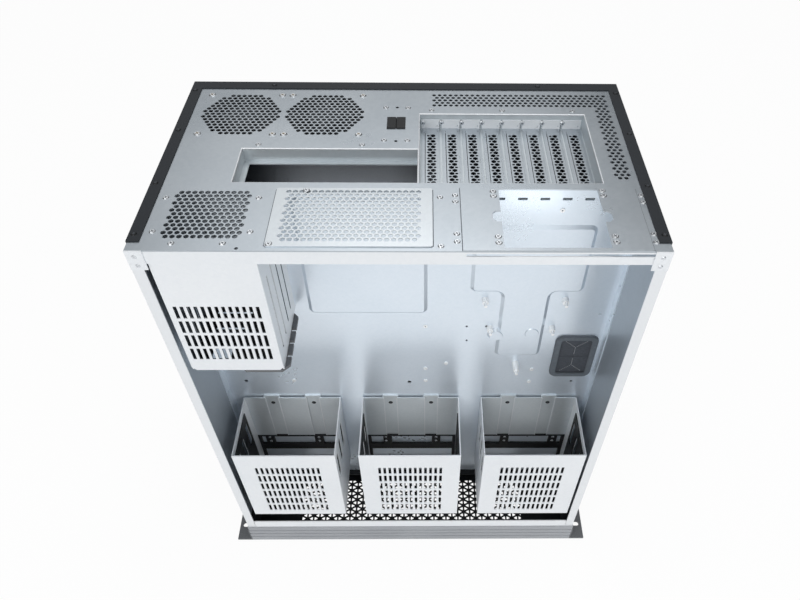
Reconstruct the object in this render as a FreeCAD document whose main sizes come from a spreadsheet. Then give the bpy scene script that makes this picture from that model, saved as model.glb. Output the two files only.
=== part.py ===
import FreeCAD, Part
import os
import Sketcher

# Rack-mount computer case, six rack units high, standing on its front face.
# X runs across the case, Y from the open lower side to the top cover, Z from front to rear.

SIZES = {
    # Overall case
    "body_width": 442.0,
    "case_height": 265.0,
    "case_depth": 530.0,
    "metal": 1.2,
    "cover_metal": 1.0,
    "lower_bay": 88.5,
    "near_flange": 10.0,
    "top_flange": 10.0,
    "fold_gap": 0.5,
    # Top cover
    "cover_gap": 11.2,
    "cover_side_rim": 10.5,
    "cover_top_rim": 13.0,
    # Front surround, front sheet and rack ears
    "bezel_depth": 38.0,
    "bezel_wall": 2.0,
    "bezel_face": 2.5,
    "bezel_border": 14.0,
    "groove_width": 3.0,
    "groove_depth": 0.6,
    "groove_pitch": 9.0,
    "mesh_level": 10.0,
    "mesh_pitch": 44.0,
    "mesh_web": 16.0,
    "mesh_side": 60.0,
    "mesh_edge": 10.0,
    "window_edge": 15.0,
    "window_bar": 8.0,
    "front_lip": 13.6,
    "ear_metal": 3.0,
    "ear_leg": 30.0,
    "ear_leg_metal": 1.5,
    "ear_reach": 20.3,
    "ear_slot_reach": 11.55,
    "ear_slot_inset": 21.375,
    "rack_slot_length": 10.3,
    "rack_slot_width": 6.8,
    # Rear panel vents
    "vent_pitch": 20.0,
    "vent_web": 3.0,
    "band_side": 24.0,
    "band_length": 162.0,
    "arm_length": 94.0,
    "arm_pitch": 22.0,
    "rear_lip": 13.0,
    # Fans
    "fan_depth": 25.0,
    "fan_margin": 16.8,
    "fan_gap": 2.2,
    "fan_plug_gap": 22.25,
    "fan_wall": 2.0,
    "fan_corner": 4.0,
    "fan_motor_half": 16.0,
    "fan_strut": 4.0,
    "fan_strut_depth": 3.0,
    "fan_bearing_depth": 2.2,
    "fan_shaft_radius": 1.5,
    "fan_shaft_play": 0.05,
    "fan_shaft_end": 0.3,
    "fan_hub_radius": 17.0,
    "fan_hub_depth": 17.0,
    "fan_hub_gap": 0.8,
    "fan_tip_gap": 1.8,
    "blade_metal": 1.4,
    "blade_reach": 7.5,
    "blade_sink": 2.5,
    # Sunk frame for connectors and expansion slots
    "recess_gap": 2.8,
    "recess_rim": 12.0,
    "recess_web": 1.9,
    "connector_side": 70.1,
    "connector_height": 51.8,
    "connector_depth": 13.3,
    "connector_lip": 5.0,
    "slot_side": 43.0,
    "slot_pitch": 20.32,
    "slot_play": 0.94,
    "slot_height": 113.3,
    "slot_depth": 16.1,
    "slot_width": 13.0,
    "slot_end": 8.0,
    "slot_cover_metal": 0.8,
    "slot_cover_gap": 0.95,
    "slot_tab": 10.0,
    "slot_vent_width": 5.0,
    "slot_vent_length": 40.0,
    "slot_vent_pitch": 48.0,
    # Twin blanking plug
    "plug_width": 16.8,
    "plug_height": 18.4,
    "plug_side": 14.65,
    "plug_drop": 15.5,
    "plug_rim": 0.6,
    "plug_proud": 1.0,
    "plug_split": 0.6,
    "plug_depth": 8.0,
    # Power supply plates
    "plate_gap": 7.7,
    "plate_width": 135.5,
    "plate_near": 5.5,
    "plate_far": 5.8,
    "plate_overlap": 7.0,
    "plate_pitch": 20.5,
    "bracket_side": 16.6,
    "supply_gap": 24.3,
    "bracket_far": 4.0,
    "bracket_leg": 33.5,
    "bracket_bar": 3.5,
    "bracket_notch_depth": 7.0,
    "bracket_notch_width": 14.0,
    "bracket_notch_edge": 3.0,
    "bracket_overlap": 15.0,
    # Rear drive cage
    "rear_cage_side": 15.4,
    "rear_cage_width": 88.4,
    "rear_cage_depth": 151.8,
    "rear_cage_chamfer": 4.0,
    "rear_slot_width": 6.5,
    "rear_slot_length": 13.0,
    "rear_slot_pitch": 12.8,
    "rear_slot_row": 18.7,
    "rear_slot_margin": 17.5,
    "rear_side_slot": 2.5,
    "rear_side_slot_length": 92.0,
    "rear_side_slot_pitch": 16.0,
    "rear_side_slot_margin": 14.0,
    "end_plate_width": 49.2,
    "end_plate_metal": 3.5,
    "end_plate_reach": 4.8,
    "end_plate_gap": 8.0,
    "end_plate_corner": 7.0,
    "end_notch_width": 4.0,
    "end_notch_pitch": 17.0,
    # Front drive cages
    "cage_margin_left": 14.9,
    "cage_margin_right": 11.7,
    "cage_gap": 27.0,
    "cage_start": 73.0,
    "cage_depth": 144.0,
    "cage_stand": 2.0,
    "cage_rib_width": 20.0,
    "cage_rib_span": 50.4,
    "cage_rib_rise": 3.0,
    "cage_rib_lap": 2.0,
    "cage_slot_width": 6.5,
    "cage_slot_length": 25.0,
    "cage_slot_pitch": 13.0,
    "cage_slot_row": 33.0,
    "cage_slot_margin": 14.0,
    "cage_side_window": 14.0,
    "cage_side_window_length": 48.0,
    "cage_side_window_pitch": 26.0,
    "cage_side_window_drop": 18.0,
    "stop_height": 62.0,
    "stop_metal": 3.0,
    "stop_edge": 4.0,
    "stop_margin": 20.2,
    "stop_spread": 10.4,
    "stop_bar": 11.3,
    "stop_rail": 12.0,
    "stop_rail_rise": 28.0,
    # Mid plate fittings
    "tray_flange": 11.0,
    "emboss": 2.5,
    "crown_middle": 96.5,
    "crown_width": 117.0,
    "crown_stem": 51.0,
    "crown_leg": 102.0,
    "crown_head": 87.0,
    "crown_end": 42.8,
    "crown_corner": 8.0,
    "field_offset": 6.5,
    "field_gap": 44.0,
    "field_length": 149.8,
    "field_end": 12.0,
    "tip_slot_width": 9.0,
    "tip_slot_length": 3.0,
    "tip_slot_drop": 14.0,
    "grommet_side": 4.3,
    "grommet_width": 48.5,
    "grommet_height": 71.0,
    "grommet_rim": 7.0,
    "grommet_seat": 3.5,
    "grommet_proud": 3.0,
    "grommet_skin": 1.2,
    "grommet_bar": 2.0,
    "grommet_slit": 0.8,
    "grommet_corner": 9.0,
    "peg_radius": 3.5,
    "peg_length": 6.0,
    "peg_low_length": 13.0,
    "peg_tip_radius": 2.2,
    "peg_tip_length": 5.0,
    "peg_wide": 84.0,
    "peg_narrow": 68.0,
    "peg_high_drop": 11.5,
    "peg_mid_drop": 55.2,
    "peg_low_drop": 115.7,
    # Corner gussets
    "gusset_width": 14.0,
    "gusset_height": 20.0,
}

SLOT_COUNT = 8
TIP_SLOT_COUNT = 5
REAR_SLOT_ROWS = 4
BLADE_COUNT = 7
STRUT_COUNT = 4
CAGE_SIDES = {"left": -1, "centre": 0, "right": 1}
HAND_SIDES = {"left": -1, "right": 1}
# Half the width of a hexagon over its corner radius, and the row spacing over the pitch
HEX_RATIO = 0.866
# Share of half the width that leaves a regular octagon when it is clipped off each corner
OCTAGON_CLIP = 0.586
# Rise of a fan blade for each unit along its chord
BLADE_SLOPE = 0.7
# Spacing of a fan vent's holes over the size of the fan
FAN_VENT_SHARE = 0.3125
# How far up its free room each fitting sits: fans, the vent under the cover, the cable grommet
FAN_SHARE = 0.278
BAND_SHARE = 0.4
GROMMET_SHARE = 0.232

doc = FreeCAD.newDocument("rack_case")
sheet = doc.addObject("Spreadsheet::Sheet", "sizes")
subparts = []


class Size:
    """A length together with the sheet expression that gives it."""

    def __init__(self, value, text=None):
        self.value = float(value)
        self.text = text or repr(float(value))

    def __add__(self, other):
        other = as_size(other)
        return Size(self.value + other.value, f"({self.text} + {other.text})")

    def __sub__(self, other):
        other = as_size(other)
        return Size(self.value - other.value, f"({self.text} - {other.text})")

    def __rsub__(self, other):
        return as_size(other) - self

    def __mul__(self, factor):
        return Size(self.value * factor, f"({self.text} * {factor})")

    def __truediv__(self, factor):
        return Size(self.value / factor, f"({self.text} / {factor})")

    def __neg__(self):
        return self * -1

    __radd__ = __add__
    __rmul__ = __mul__


def as_size(value):
    return value if isinstance(value, Size) else Size(value)


def fill_sheet():
    for row, (name, value) in enumerate(SIZES.items(), start=1):
        sheet.set(f"A{row}", name)
        sheet.set(f"B{row}", str(value))
        sheet.setAlias(f"B{row}", name)
    doc.recompute()


def cell(name):
    return Size(SIZES[name], f"sizes.{name}")


def bind(item, path, size):
    item.setExpression(path, as_size(size).text)


def count_in(space, pitch):
    """How many copies fit in a space at a pitch, one at each end."""
    return max(1, int(space.value / pitch.value) + 1)


# Helpers for bodies: a sketch of closed outlines, a pad and a cut that run up the axis they cross


def new_body(label):
    body = doc.addObject("PartDesign::Body", label)
    body.Label = label
    subparts.append(body)
    return body


def add_outline(sketch, outline):
    first = sketch.GeometryCount
    total = len(outline)
    corners = [(as_size(x), as_size(y)) for x, y in outline]
    points = [FreeCAD.Vector(x.value, y.value, 0) for x, y in corners]
    for index in range(total):
        sketch.addGeometry(Part.LineSegment(points[index], points[(index + 1) % total]), False)
    for index, (x, y) in enumerate(corners):
        following = first + (index + 1) % total
        sketch.addConstraint(Sketcher.Constraint("Coincident", first + index, 2, following, 1))
        for kind, size in (("DistanceX", x), ("DistanceY", y)):
            place = sketch.addConstraint(Sketcher.Constraint(kind, -1, 1, first + index, 1, size.value))
            bind(sketch, f"Constraints[{place}]", size)


def add_circle(sketch, centre, radius):
    x, y = (as_size(part) for part in centre)
    circle = Part.Circle(FreeCAD.Vector(x.value, y.value, 0), FreeCAD.Vector(0, 0, 1), radius.value)
    index = sketch.addGeometry(circle, False)
    for kind, size in (("DistanceX", x), ("DistanceY", y)):
        place = sketch.addConstraint(Sketcher.Constraint(kind, -1, 1, index, 3, size.value))
        bind(sketch, f"Constraints[{place}]", size)
    place = sketch.addConstraint(Sketcher.Constraint("Radius", index, radius.value))
    bind(sketch, f"Constraints[{place}]", radius)


def add_sketch(body, plane, level, outlines=(), circles=(), origin=(0, 0)):
    sketch = body.newObject("Sketcher::SketchObject", f"{body.Name}_sketch")
    base = [item for item in body.Origin.OriginFeatures if item.Role == f"{plane}_Plane"]
    sketch.AttachmentSupport = [(base[0], "")]
    sketch.MapMode = "FlatFace"
    facing = -1 if plane == "XZ" else 1
    bind(sketch, ".AttachmentOffset.Base.x", origin[0])
    bind(sketch, ".AttachmentOffset.Base.y", origin[1])
    bind(sketch, ".AttachmentOffset.Base.z", as_size(level) * facing)
    for outline in outlines:
        add_outline(sketch, outline)
    for centre, radius in circles:
        add_circle(sketch, centre, radius)
    return sketch


def pad(body, plane, level, height, outlines=(), circles=(), origin=(0, 0)):
    feature = body.newObject("PartDesign::Pad", f"{body.Name}_pad")
    feature.Profile = add_sketch(body, plane, level, outlines, circles, origin)
    feature.Reversed = plane == "XZ"
    bind(feature, "Length", height)
    body.Tip = feature
    return feature


def cut(body, plane, level, depth, outlines=(), circles=(), origin=(0, 0)):
    feature = body.newObject("PartDesign::Pocket", f"{body.Name}_cut")
    feature.Profile = add_sketch(body, plane, level, outlines, circles, origin)
    feature.Reversed = plane != "XZ"
    feature.Refine = False
    bind(feature, "Length", depth)
    body.Tip = feature
    return feature


def repeat(body, feature, columns, step, rows=1, row_step=None):
    sketch = feature.Profile[0]
    pattern = body.newObject("PartDesign::LinearPattern", f"{body.Name}_rows")
    pattern.Originals = [feature]
    pattern.Refine = False
    pattern.Direction = (sketch, ["H_Axis"])
    pattern.Occurrences = columns
    bind(pattern, "Length", step * max(1, columns - 1))
    if rows > 1:
        pattern.Direction2 = (sketch, ["V_Axis"])
        pattern.Occurrences2 = rows
        bind(pattern, "Length2", row_step * (rows - 1))
    body.Tip = pattern


def revolve_copies(body, feature, count):
    pattern = body.newObject("PartDesign::PolarPattern", f"{body.Name}_ring")
    pattern.Originals = [feature]
    pattern.Refine = False
    pattern.Axis = (feature.Profile[0], ["N_Axis"])
    pattern.Angle = 360
    pattern.Occurrences = count
    body.Tip = pattern


def rectangle(left, right, low, high):
    return [(left, low), (right, low), (right, high), (left, high)]


def clipped(left, right, low, high, corner):
    """A rectangle with its four corners cut off."""
    return [
        (left + corner, low),
        (right - corner, low),
        (right, low + corner),
        (right, high - corner),
        (right - corner, high),
        (left + corner, high),
        (left, high - corner),
        (left, low + corner),
    ]


def hexagon(x, y, pitch, web):
    """A hexagon with upright sides that leaves a web between neighbours at a pitch."""
    flat = (pitch - web) / 2
    tip = flat / HEX_RATIO
    shoulder = tip / 2
    return [
        (x, y - tip),
        (x + flat, y - shoulder),
        (x + flat, y + shoulder),
        (x, y + tip),
        (x - flat, y + shoulder),
        (x - flat, y - shoulder),
    ]


def hex_field(body, level, depth, left, right, low, high, pitch, web):
    """Rows of hexagonal holes, every second row set over by half a pitch."""
    row = pitch * HEX_RATIO
    columns = count_in(right - left, pitch)
    rows = count_in(high - low, row)
    start_x = (left + right) / 2 - pitch * ((columns - 1) / 2)
    start_y = (low + high) / 2 - row * ((rows - 1) / 2)
    even = cut(body, "XY", level, depth, [hexagon(start_x, start_y, pitch, web)])
    repeat(body, even, columns, pitch, (rows + 1) // 2, row * 2)
    if rows > 1 and columns > 1:
        odd_outline = hexagon(start_x + pitch / 2, start_y + row, pitch, web)
        odd = cut(body, "XY", level, depth, [odd_outline])
        repeat(body, odd, columns - 1, pitch, rows // 2, row * 2)


fill_sheet()

# Faces that several pieces share
metal = cell("metal")
cover_metal = cell("cover_metal")
half_width = cell("body_width") / 2
half_height = cell("case_height") / 2
rear_end = cell("case_depth")
wall_out = half_width - cover_metal
wall_in = wall_out - metal
cover_under = half_height - cover_metal
near_skin = cover_metal - half_height
near_inside = near_skin + metal
tray_face = cell("lower_bay") - half_height
tray_back = tray_face + metal
panel_face = rear_end - cover_metal
panel_under = panel_face - metal
bezel_back = cell("bezel_depth")
frame_back = bezel_back + metal
lip_half = wall_out - cell("near_flange") - cell("fold_gap")

# Places on the rear panel
slot_right = half_width - cell("slot_side")
slot_left = slot_right - cell("slot_pitch") * SLOT_COUNT - cell("slot_play")
recess_near = tray_back + cell("recess_gap")
slot_far = recess_near + cell("slot_height")
slot_floor = panel_face - cell("slot_depth")
connector_right = slot_left - cell("recess_web")
connector_left = cell("connector_side") - half_width
connector_far = recess_near + cell("connector_height")
connector_floor = panel_face - cell("connector_depth")
plug_right = slot_left - cell("plug_side")
plug_left = plug_right - cell("plug_width")
fan_left = cell("fan_margin") - wall_in
fan_right = plug_left - cell("plug_rim") - cell("fan_plug_gap")
fan_size = (fan_right - fan_left - cell("fan_gap")) / 2
fan_bore = fan_size / 2 - cell("fan_wall")
fan_middle_x = {"left": fan_left + fan_size / 2, "right": fan_right - fan_size / 2}
recess_top = connector_far + cell("recess_rim")
fan_middle_y = recess_top + (cover_under - recess_top - fan_size) * FAN_SHARE + fan_size / 2
plug_middle_y = fan_middle_y - cell("plug_drop")
plug_low = plug_middle_y - cell("plug_height") / 2
plug_high = plug_middle_y + cell("plug_height") / 2
rear_cage_left = cell("rear_cage_side") - half_width
rear_cage_right = rear_cage_left + cell("rear_cage_width")
rear_cage_front = panel_under - cell("rear_cage_depth")
plate_left = rear_cage_right + cell("plate_gap")
plate_right = plate_left + cell("plate_width")
plate_low = cell("plate_near") - half_height
plate_high = tray_face - cell("plate_far")
bracket_right = half_width - cell("bracket_side")
bracket_left = plate_right + cell("supply_gap")
bracket_high = tray_face - cell("bracket_far")
bracket_window_left = bracket_left + cell("bracket_leg")
bracket_window_right = bracket_right - cell("bracket_leg")
bracket_window_low = near_skin + cell("bracket_bar")

# Places in the lower bay
cage_end = cell("cage_start") + cell("cage_depth")
stop_end = cell("cage_start") + cell("stop_height")
cage_back = tray_face - cell("cage_stand")
cage_room = wall_in * 2 - cell("cage_margin_left") - cell("cage_margin_right") - cell("cage_gap") * 2
cage_width = cage_room / 3
cage_pitch = cage_width + cell("cage_gap")
cage_middle = cell("cage_margin_left") - wall_in + cage_width / 2 + cage_pitch
crown_x = half_width - cell("crown_middle")
crown_high = panel_under - cell("crown_end")
crown_shoulder = crown_high - cell("crown_head")
crown_low = crown_shoulder - cell("crown_leg")


# Shell


def make_side_wall(hand, side):
    body = new_body(f"{hand}_side_wall")
    outer = wall_out * side
    inner = wall_in * side
    near_edge = (wall_out - cell("near_flange")) * side
    top_edge = (wall_out - cell("top_flange")) * side
    section = [
        (near_edge, near_skin),
        (outer, near_skin),
        (outer, cover_under),
        (top_edge, cover_under),
        (top_edge, cover_under - metal),
        (inner, cover_under - metal),
        (inner, near_inside),
        (near_edge, near_inside),
    ]
    pad(body, "XY", frame_back, panel_under - frame_back, [section])


def make_top_cover():
    body = new_body("top_cover")
    low = cell("cover_gap") - half_height
    inner = half_width - cover_metal
    wrap = [
        (-half_width, low),
        (-half_width, half_height),
        (half_width, half_height),
        (half_width, low),
        (inner, low),
        (inner, cover_under),
        (-inner, cover_under),
        (-inner, low),
    ]
    pad(body, "XY", bezel_back, rear_end - bezel_back, [wrap])
    rim_side = half_width - cell("cover_side_rim")
    rim_top = half_height - cell("cover_top_rim")
    rim = wrap[:4] + [(rim_side, low), (rim_side, rim_top), (-rim_side, rim_top), (-rim_side, low)]
    pad(body, "XY", panel_face, cover_metal, [rim])


def make_rear_panel():
    body = new_body("rear_panel")
    pad(body, "XY", panel_under, metal, [rectangle(-wall_out, wall_out, near_skin, cover_under)])
    lip = rectangle(-lip_half, lip_half, near_skin, near_inside)
    pad(body, "XY", panel_under - cell("rear_lip"), cell("rear_lip"), [lip])
    overlap = cell("plate_overlap")
    side_overlap = cell("bracket_overlap")
    windows = [
        rectangle(connector_left, connector_right, recess_near, connector_far),
        rectangle(slot_left, slot_right, recess_near, slot_far),
        rectangle(plug_left, plug_right, plug_low, plug_high),
        rectangle(plate_left + overlap, plate_right - overlap, plate_low + overlap, plate_high - overlap),
        rectangle(
            bracket_left + side_overlap,
            bracket_right - side_overlap,
            bracket_window_low,
            bracket_high - metal,
        ),
    ]
    cut(body, "XY", panel_under, metal, windows)
    cut_fan_vents(body)
    cut_band_vent(body)
    cut_cage_vent(body)


def cut_fan_vents(body):
    pitch = fan_size * FAN_VENT_SHARE
    web = cell("vent_web")
    for middle in fan_middle_x.values():
        origin = (middle, fan_middle_y)
        cut(body, "XY", panel_under, metal, [hexagon(as_size(0), as_size(0), pitch, web)], origin=origin)
        ring = cut(body, "XY", panel_under, metal, [hexagon(pitch, as_size(0), pitch, web)], origin=origin)
        revolve_copies(body, ring, 6)


def cut_band_vent(body):
    """The L-shaped vent: a row under the cover's rim, then a column down its right end."""
    pitch = cell("vent_pitch")
    web = cell("vent_web")
    right = half_width - cell("band_side")
    slot_top = slot_far + cell("recess_rim")
    high = slot_top + (half_height - cell("cover_top_rim") - slot_top) * BAND_SHARE
    columns = count_in(cell("band_length"), pitch)
    band = cut(body, "XY", panel_under, metal, [hexagon(right - pitch * (columns - 1), high, pitch, web)])
    repeat(body, band, columns, pitch)
    step = cell("arm_pitch")
    rows = count_in(cell("arm_length"), step)
    arm = cut(body, "XY", panel_under, metal, [hexagon(right, high - step * rows, pitch, web)])
    repeat(body, arm, 1, pitch, rows, step)


def cut_cage_vent(body):
    pitch = cell("vent_pitch")
    web = cell("vent_web")
    inset = pitch + metal
    hex_field(
        body,
        panel_under,
        metal,
        rear_cage_left + inset,
        rear_cage_right - inset,
        near_inside + inset,
        tray_face - inset,
        pitch,
        web,
    )


def make_recess_frame():
    body = new_body("recess_frame")
    rim = cell("recess_rim")
    flange_under = panel_under - metal
    flange = [
        (connector_left - rim, tray_back),
        (slot_right + rim, tray_back),
        (slot_right + rim, slot_far + rim),
        (slot_left - rim, slot_far + rim),
        (slot_left - rim, connector_far + rim),
        (connector_left - rim, connector_far + rim),
    ]
    pad(body, "XY", flange_under, metal, [flange])
    box_near = recess_near - metal
    connector_box = rectangle(connector_left - metal, connector_right, box_near, connector_far + metal)
    connector_under = connector_floor - metal
    pad(body, "XY", connector_under, flange_under - connector_under, [connector_box])
    slot_box = rectangle(connector_right, slot_right + metal, box_near, slot_far + metal)
    slot_under = slot_floor - metal
    pad(body, "XY", slot_under, flange_under - slot_under, [slot_box])
    connector_well = rectangle(connector_left, connector_right, recess_near, connector_far)
    cut(body, "XY", connector_floor, panel_under - connector_floor, [connector_well])
    slot_well = rectangle(slot_left, slot_right, recess_near, slot_far)
    cut(body, "XY", slot_floor, panel_under - slot_floor, [slot_well])
    lip = cell("connector_lip")
    aperture = rectangle(connector_left + lip, connector_right, recess_near, connector_far - lip)
    cut(body, "XY", connector_under, metal, [aperture])
    first = slot_left + cell("slot_play") / 2 + (cell("slot_pitch") - cell("slot_width")) / 2
    end = cell("slot_end")
    opening = rectangle(first, first + cell("slot_width"), recess_near + end, slot_far - end)
    slots = cut(body, "XY", slot_under, metal, [opening])
    repeat(body, slots, SLOT_COUNT, cell("slot_pitch"))


def make_slot_cover(number):
    body = new_body(f"slot_cover_{number}")
    skin = cell("slot_cover_metal")
    gap = cell("slot_cover_gap")
    left = slot_left + cell("slot_play") / 2 + cell("slot_pitch") * (number - 1) + gap
    width = cell("slot_pitch") - gap * 2
    section = [
        (recess_near + gap, slot_floor),
        (slot_far, slot_floor),
        (slot_far, slot_floor + cell("slot_tab")),
        (slot_far - skin, slot_floor + cell("slot_tab")),
        (slot_far - skin, slot_floor + skin),
        (recess_near + gap, slot_floor + skin),
    ]
    pad(body, "YZ", left, width, [section])
    length = cell("slot_vent_length")
    pitch = cell("slot_vent_pitch")
    count = count_in(slot_far - recess_near - cell("slot_end") * 2 - length, pitch)
    middle = (recess_near + slot_far) / 2
    low = middle - pitch * ((count - 1) / 2) - length / 2
    vent_left = left + (width - cell("slot_vent_width")) / 2
    vent = rectangle(vent_left, vent_left + cell("slot_vent_width"), low, low + length)
    vents = cut(body, "XY", slot_floor, skin, [vent])
    repeat(body, vents, 1, pitch, count, pitch)


def make_plug(hand):
    body = new_body(f"plug_{hand}")
    middle = (plug_left + plug_right) / 2
    split = cell("plug_split") / 2
    rim = cell("plug_rim")
    if hand == "left":
        cap = rectangle(plug_left - rim, middle - split, plug_low - rim, plug_high + rim)
        stem = rectangle(plug_left, middle - split, plug_low, plug_high)
    else:
        cap = rectangle(middle + split, plug_right + rim, plug_low - rim, plug_high + rim)
        stem = rectangle(middle + split, plug_right, plug_low, plug_high)
    pad(body, "XY", panel_face, cell("plug_proud"), [cap])
    pad(body, "XY", panel_face - cell("plug_depth"), cell("plug_depth"), [stem])


def make_psu_cover_plate():
    body = new_body("psu_cover_plate")
    pad(body, "XY", panel_face, cover_metal, [rectangle(plate_left, plate_right, plate_low, plate_high)])
    inset = cell("plate_overlap") + cell("plate_pitch") / 2 + cell("vent_web")
    hex_field(
        body,
        panel_face,
        cover_metal,
        plate_left + inset,
        plate_right - inset,
        plate_low + inset,
        plate_high - inset,
        cell("plate_pitch"),
        cell("vent_web"),
    )


def make_psu_bracket():
    body = new_body("psu_bracket")
    depth = cell("bracket_notch_depth")
    half = cell("bracket_notch_width") / 2
    edge = cell("bracket_notch_edge")
    middle = (bracket_window_low + bracket_high) / 2

    def notch(face, reach, turn):
        """The open side notch of a window face, listed in the direction of turn."""
        return [
            (face, middle - half * turn),
            (face + reach + edge * turn, middle - half * turn),
            (face + reach, middle - (half - edge) * turn),
            (face + reach, middle + (half - edge) * turn),
            (face + reach + edge * turn, middle + half * turn),
            (face, middle + half * turn),
        ]

    outline = [(bracket_left, near_skin), (bracket_right, near_skin), (bracket_right, bracket_high)]
    outline.append((bracket_window_right, bracket_high))
    outline += notch(bracket_window_right, depth, -1)
    outline.append((bracket_window_right, bracket_window_low))
    outline.append((bracket_window_left, bracket_window_low))
    outline += notch(bracket_window_left, -depth, 1)
    outline += [(bracket_window_left, bracket_high), (bracket_left, bracket_high)]
    pad(body, "XY", panel_face, cover_metal, [outline])


def make_corner_gusset(hand, side):
    body = new_body(f"corner_gusset_{hand}")
    edges = sorted([wall_out * side, (wall_out - cell("gusset_width")) * side], key=lambda edge: edge.value)
    plate = rectangle(edges[0], edges[1], panel_face - cell("gusset_height"), panel_face)
    pad(body, "XZ", -half_height, cover_metal, [plate])


# Fans


def make_fan_frame(hand):
    body = new_body(f"fan_frame_{hand}")
    origin = (fan_middle_x[hand], fan_middle_y)
    half = fan_size / 2
    start = panel_under - cell("fan_depth")
    outline = clipped(-half, half, -half, half, cell("fan_corner"))
    pad(body, "XY", start, cell("fan_depth"), [outline], [((0, 0), fan_bore)], origin)
    strut_start = panel_under - cell("fan_strut_depth")
    strut = cell("fan_strut") / 2
    arm = rectangle(-strut, strut, as_size(0), fan_bore + metal)
    arms = pad(body, "XY", strut_start, cell("fan_strut_depth"), [arm], origin=origin)
    revolve_copies(body, arms, STRUT_COUNT)
    motor = cell("fan_motor_half")
    mount = clipped(-motor, motor, -motor, motor, motor * OCTAGON_CLIP)
    pad(body, "XY", strut_start, cell("fan_strut_depth"), [mount], origin=origin)
    bore_radius = cell("fan_shaft_radius") + cell("fan_shaft_play")
    cut(body, "XY", strut_start, cell("fan_bearing_depth"), [], [((0, 0), bore_radius)], origin)


def make_fan_rotor(hand):
    body = new_body(f"fan_rotor_{hand}")
    hub_top = -cell("fan_strut_depth") - cell("fan_hub_gap")
    hub_start = hub_top - cell("fan_hub_depth")
    pad(body, "XY", hub_start, cell("fan_hub_depth"), [], [((0, 0), cell("fan_hub_radius"))])
    shaft = cell("fan_bearing_depth") + cell("fan_hub_gap") - cell("fan_shaft_end")
    pad(body, "XY", hub_top, shaft, [], [((0, 0), cell("fan_shaft_radius"))])
    middle = (hub_start + hub_top) / 2
    reach = cell("blade_reach")
    rise = reach * BLADE_SLOPE
    thick = cell("blade_metal") / 2
    section = [
        (-reach, middle - rise - thick),
        (reach, middle + rise - thick),
        (reach, middle + rise + thick),
        (-reach, middle - rise + thick),
    ]
    root = cell("fan_hub_radius") - cell("blade_sink")
    tip = fan_bore - cell("fan_tip_gap")
    blade = pad(body, "YZ", root, tip - root, [section])
    pattern = body.newObject("PartDesign::PolarPattern", f"{body.Name}_blades")
    pattern.Originals = [blade]
    axis = [item for item in body.Origin.OriginFeatures if item.Role == "Z_Axis"]
    pattern.Axis = (axis[0], [""])
    pattern.Angle = 360
    pattern.Occurrences = BLADE_COUNT
    body.Tip = pattern
    bind(body, ".Placement.Base.x", fan_middle_x[hand])
    bind(body, ".Placement.Base.y", fan_middle_y)
    bind(body, ".Placement.Base.z", panel_under)


# Mid plate and its fittings


def grommet_faces():
    right = wall_in - cell("grommet_side")
    left = right - cell("grommet_width")
    low = cage_end + (crown_shoulder - cage_end) * GROMMET_SHARE
    return left, right, low, low + cell("grommet_height")


def make_mid_plate():
    body = new_body("mid_plate")
    inner = wall_in - metal
    flange_edge = tray_face - cell("tray_flange")
    section = [
        (-wall_in, flange_edge),
        (-inner, flange_edge),
        (-inner, tray_face),
        (inner, tray_face),
        (inner, flange_edge),
        (wall_in, flange_edge),
        (wall_in, tray_back),
        (-wall_in, tray_back),
    ]
    pad(body, "XY", frame_back, panel_under - frame_back, [section])
    emboss = cell("emboss")
    for outline in (crown_outline(as_size(0)), field_outline(as_size(0))):
        pad(body, "XZ", tray_face - emboss, emboss, [outline])
    for outline in (crown_outline(metal), field_outline(metal)):
        cut(body, "XZ", tray_back - emboss, emboss, [outline])
    seat = cell("grommet_seat")
    left, right, low, high = grommet_faces()
    cut(body, "XZ", tray_face, metal, [rectangle(left + seat, right - seat, low + seat, high - seat)])
    pitch = cell("slot_pitch")
    last = slot_right - cell("slot_play") / 2 - pitch / 2 + cell("tip_slot_width") / 2
    first = last - cell("tip_slot_width") - pitch * (TIP_SLOT_COUNT - 1)
    high = panel_under - cell("tip_slot_drop")
    tip_slot = rectangle(first, first + cell("tip_slot_width"), high - cell("tip_slot_length"), high)
    tips = cut(body, "XZ", tray_face, metal, [tip_slot])
    repeat(body, tips, TIP_SLOT_COUNT, pitch)


def crown_outline(inset):
    """The T-shaped raised field: a wide head over a narrow stem."""
    wide = cell("crown_width") / 2 - inset
    stem = cell("crown_stem") / 2 - inset
    corner = cell("crown_corner")
    low = crown_low + inset
    shoulder = crown_shoulder + inset
    high = crown_high - inset
    return [
        (crown_x - stem + corner, low),
        (crown_x + stem - corner, low),
        (crown_x + stem, low + corner),
        (crown_x + stem, shoulder),
        (crown_x + wide - corner, shoulder),
        (crown_x + wide, shoulder + corner),
        (crown_x + wide, high - corner),
        (crown_x + wide - corner, high),
        (crown_x - wide + corner, high),
        (crown_x - wide, high - corner),
        (crown_x - wide, shoulder + corner),
        (crown_x - wide + corner, shoulder),
        (crown_x - stem, shoulder),
        (crown_x - stem, low + corner),
    ]


def field_outline(inset):
    left = plate_left + cell("field_offset")
    high = panel_under - cell("field_end")
    low = high - cell("field_length")
    right = crown_x - cell("crown_width") / 2 - cell("field_gap")
    return clipped(left + inset, right - inset, low + inset, high - inset, cell("crown_corner"))


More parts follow.
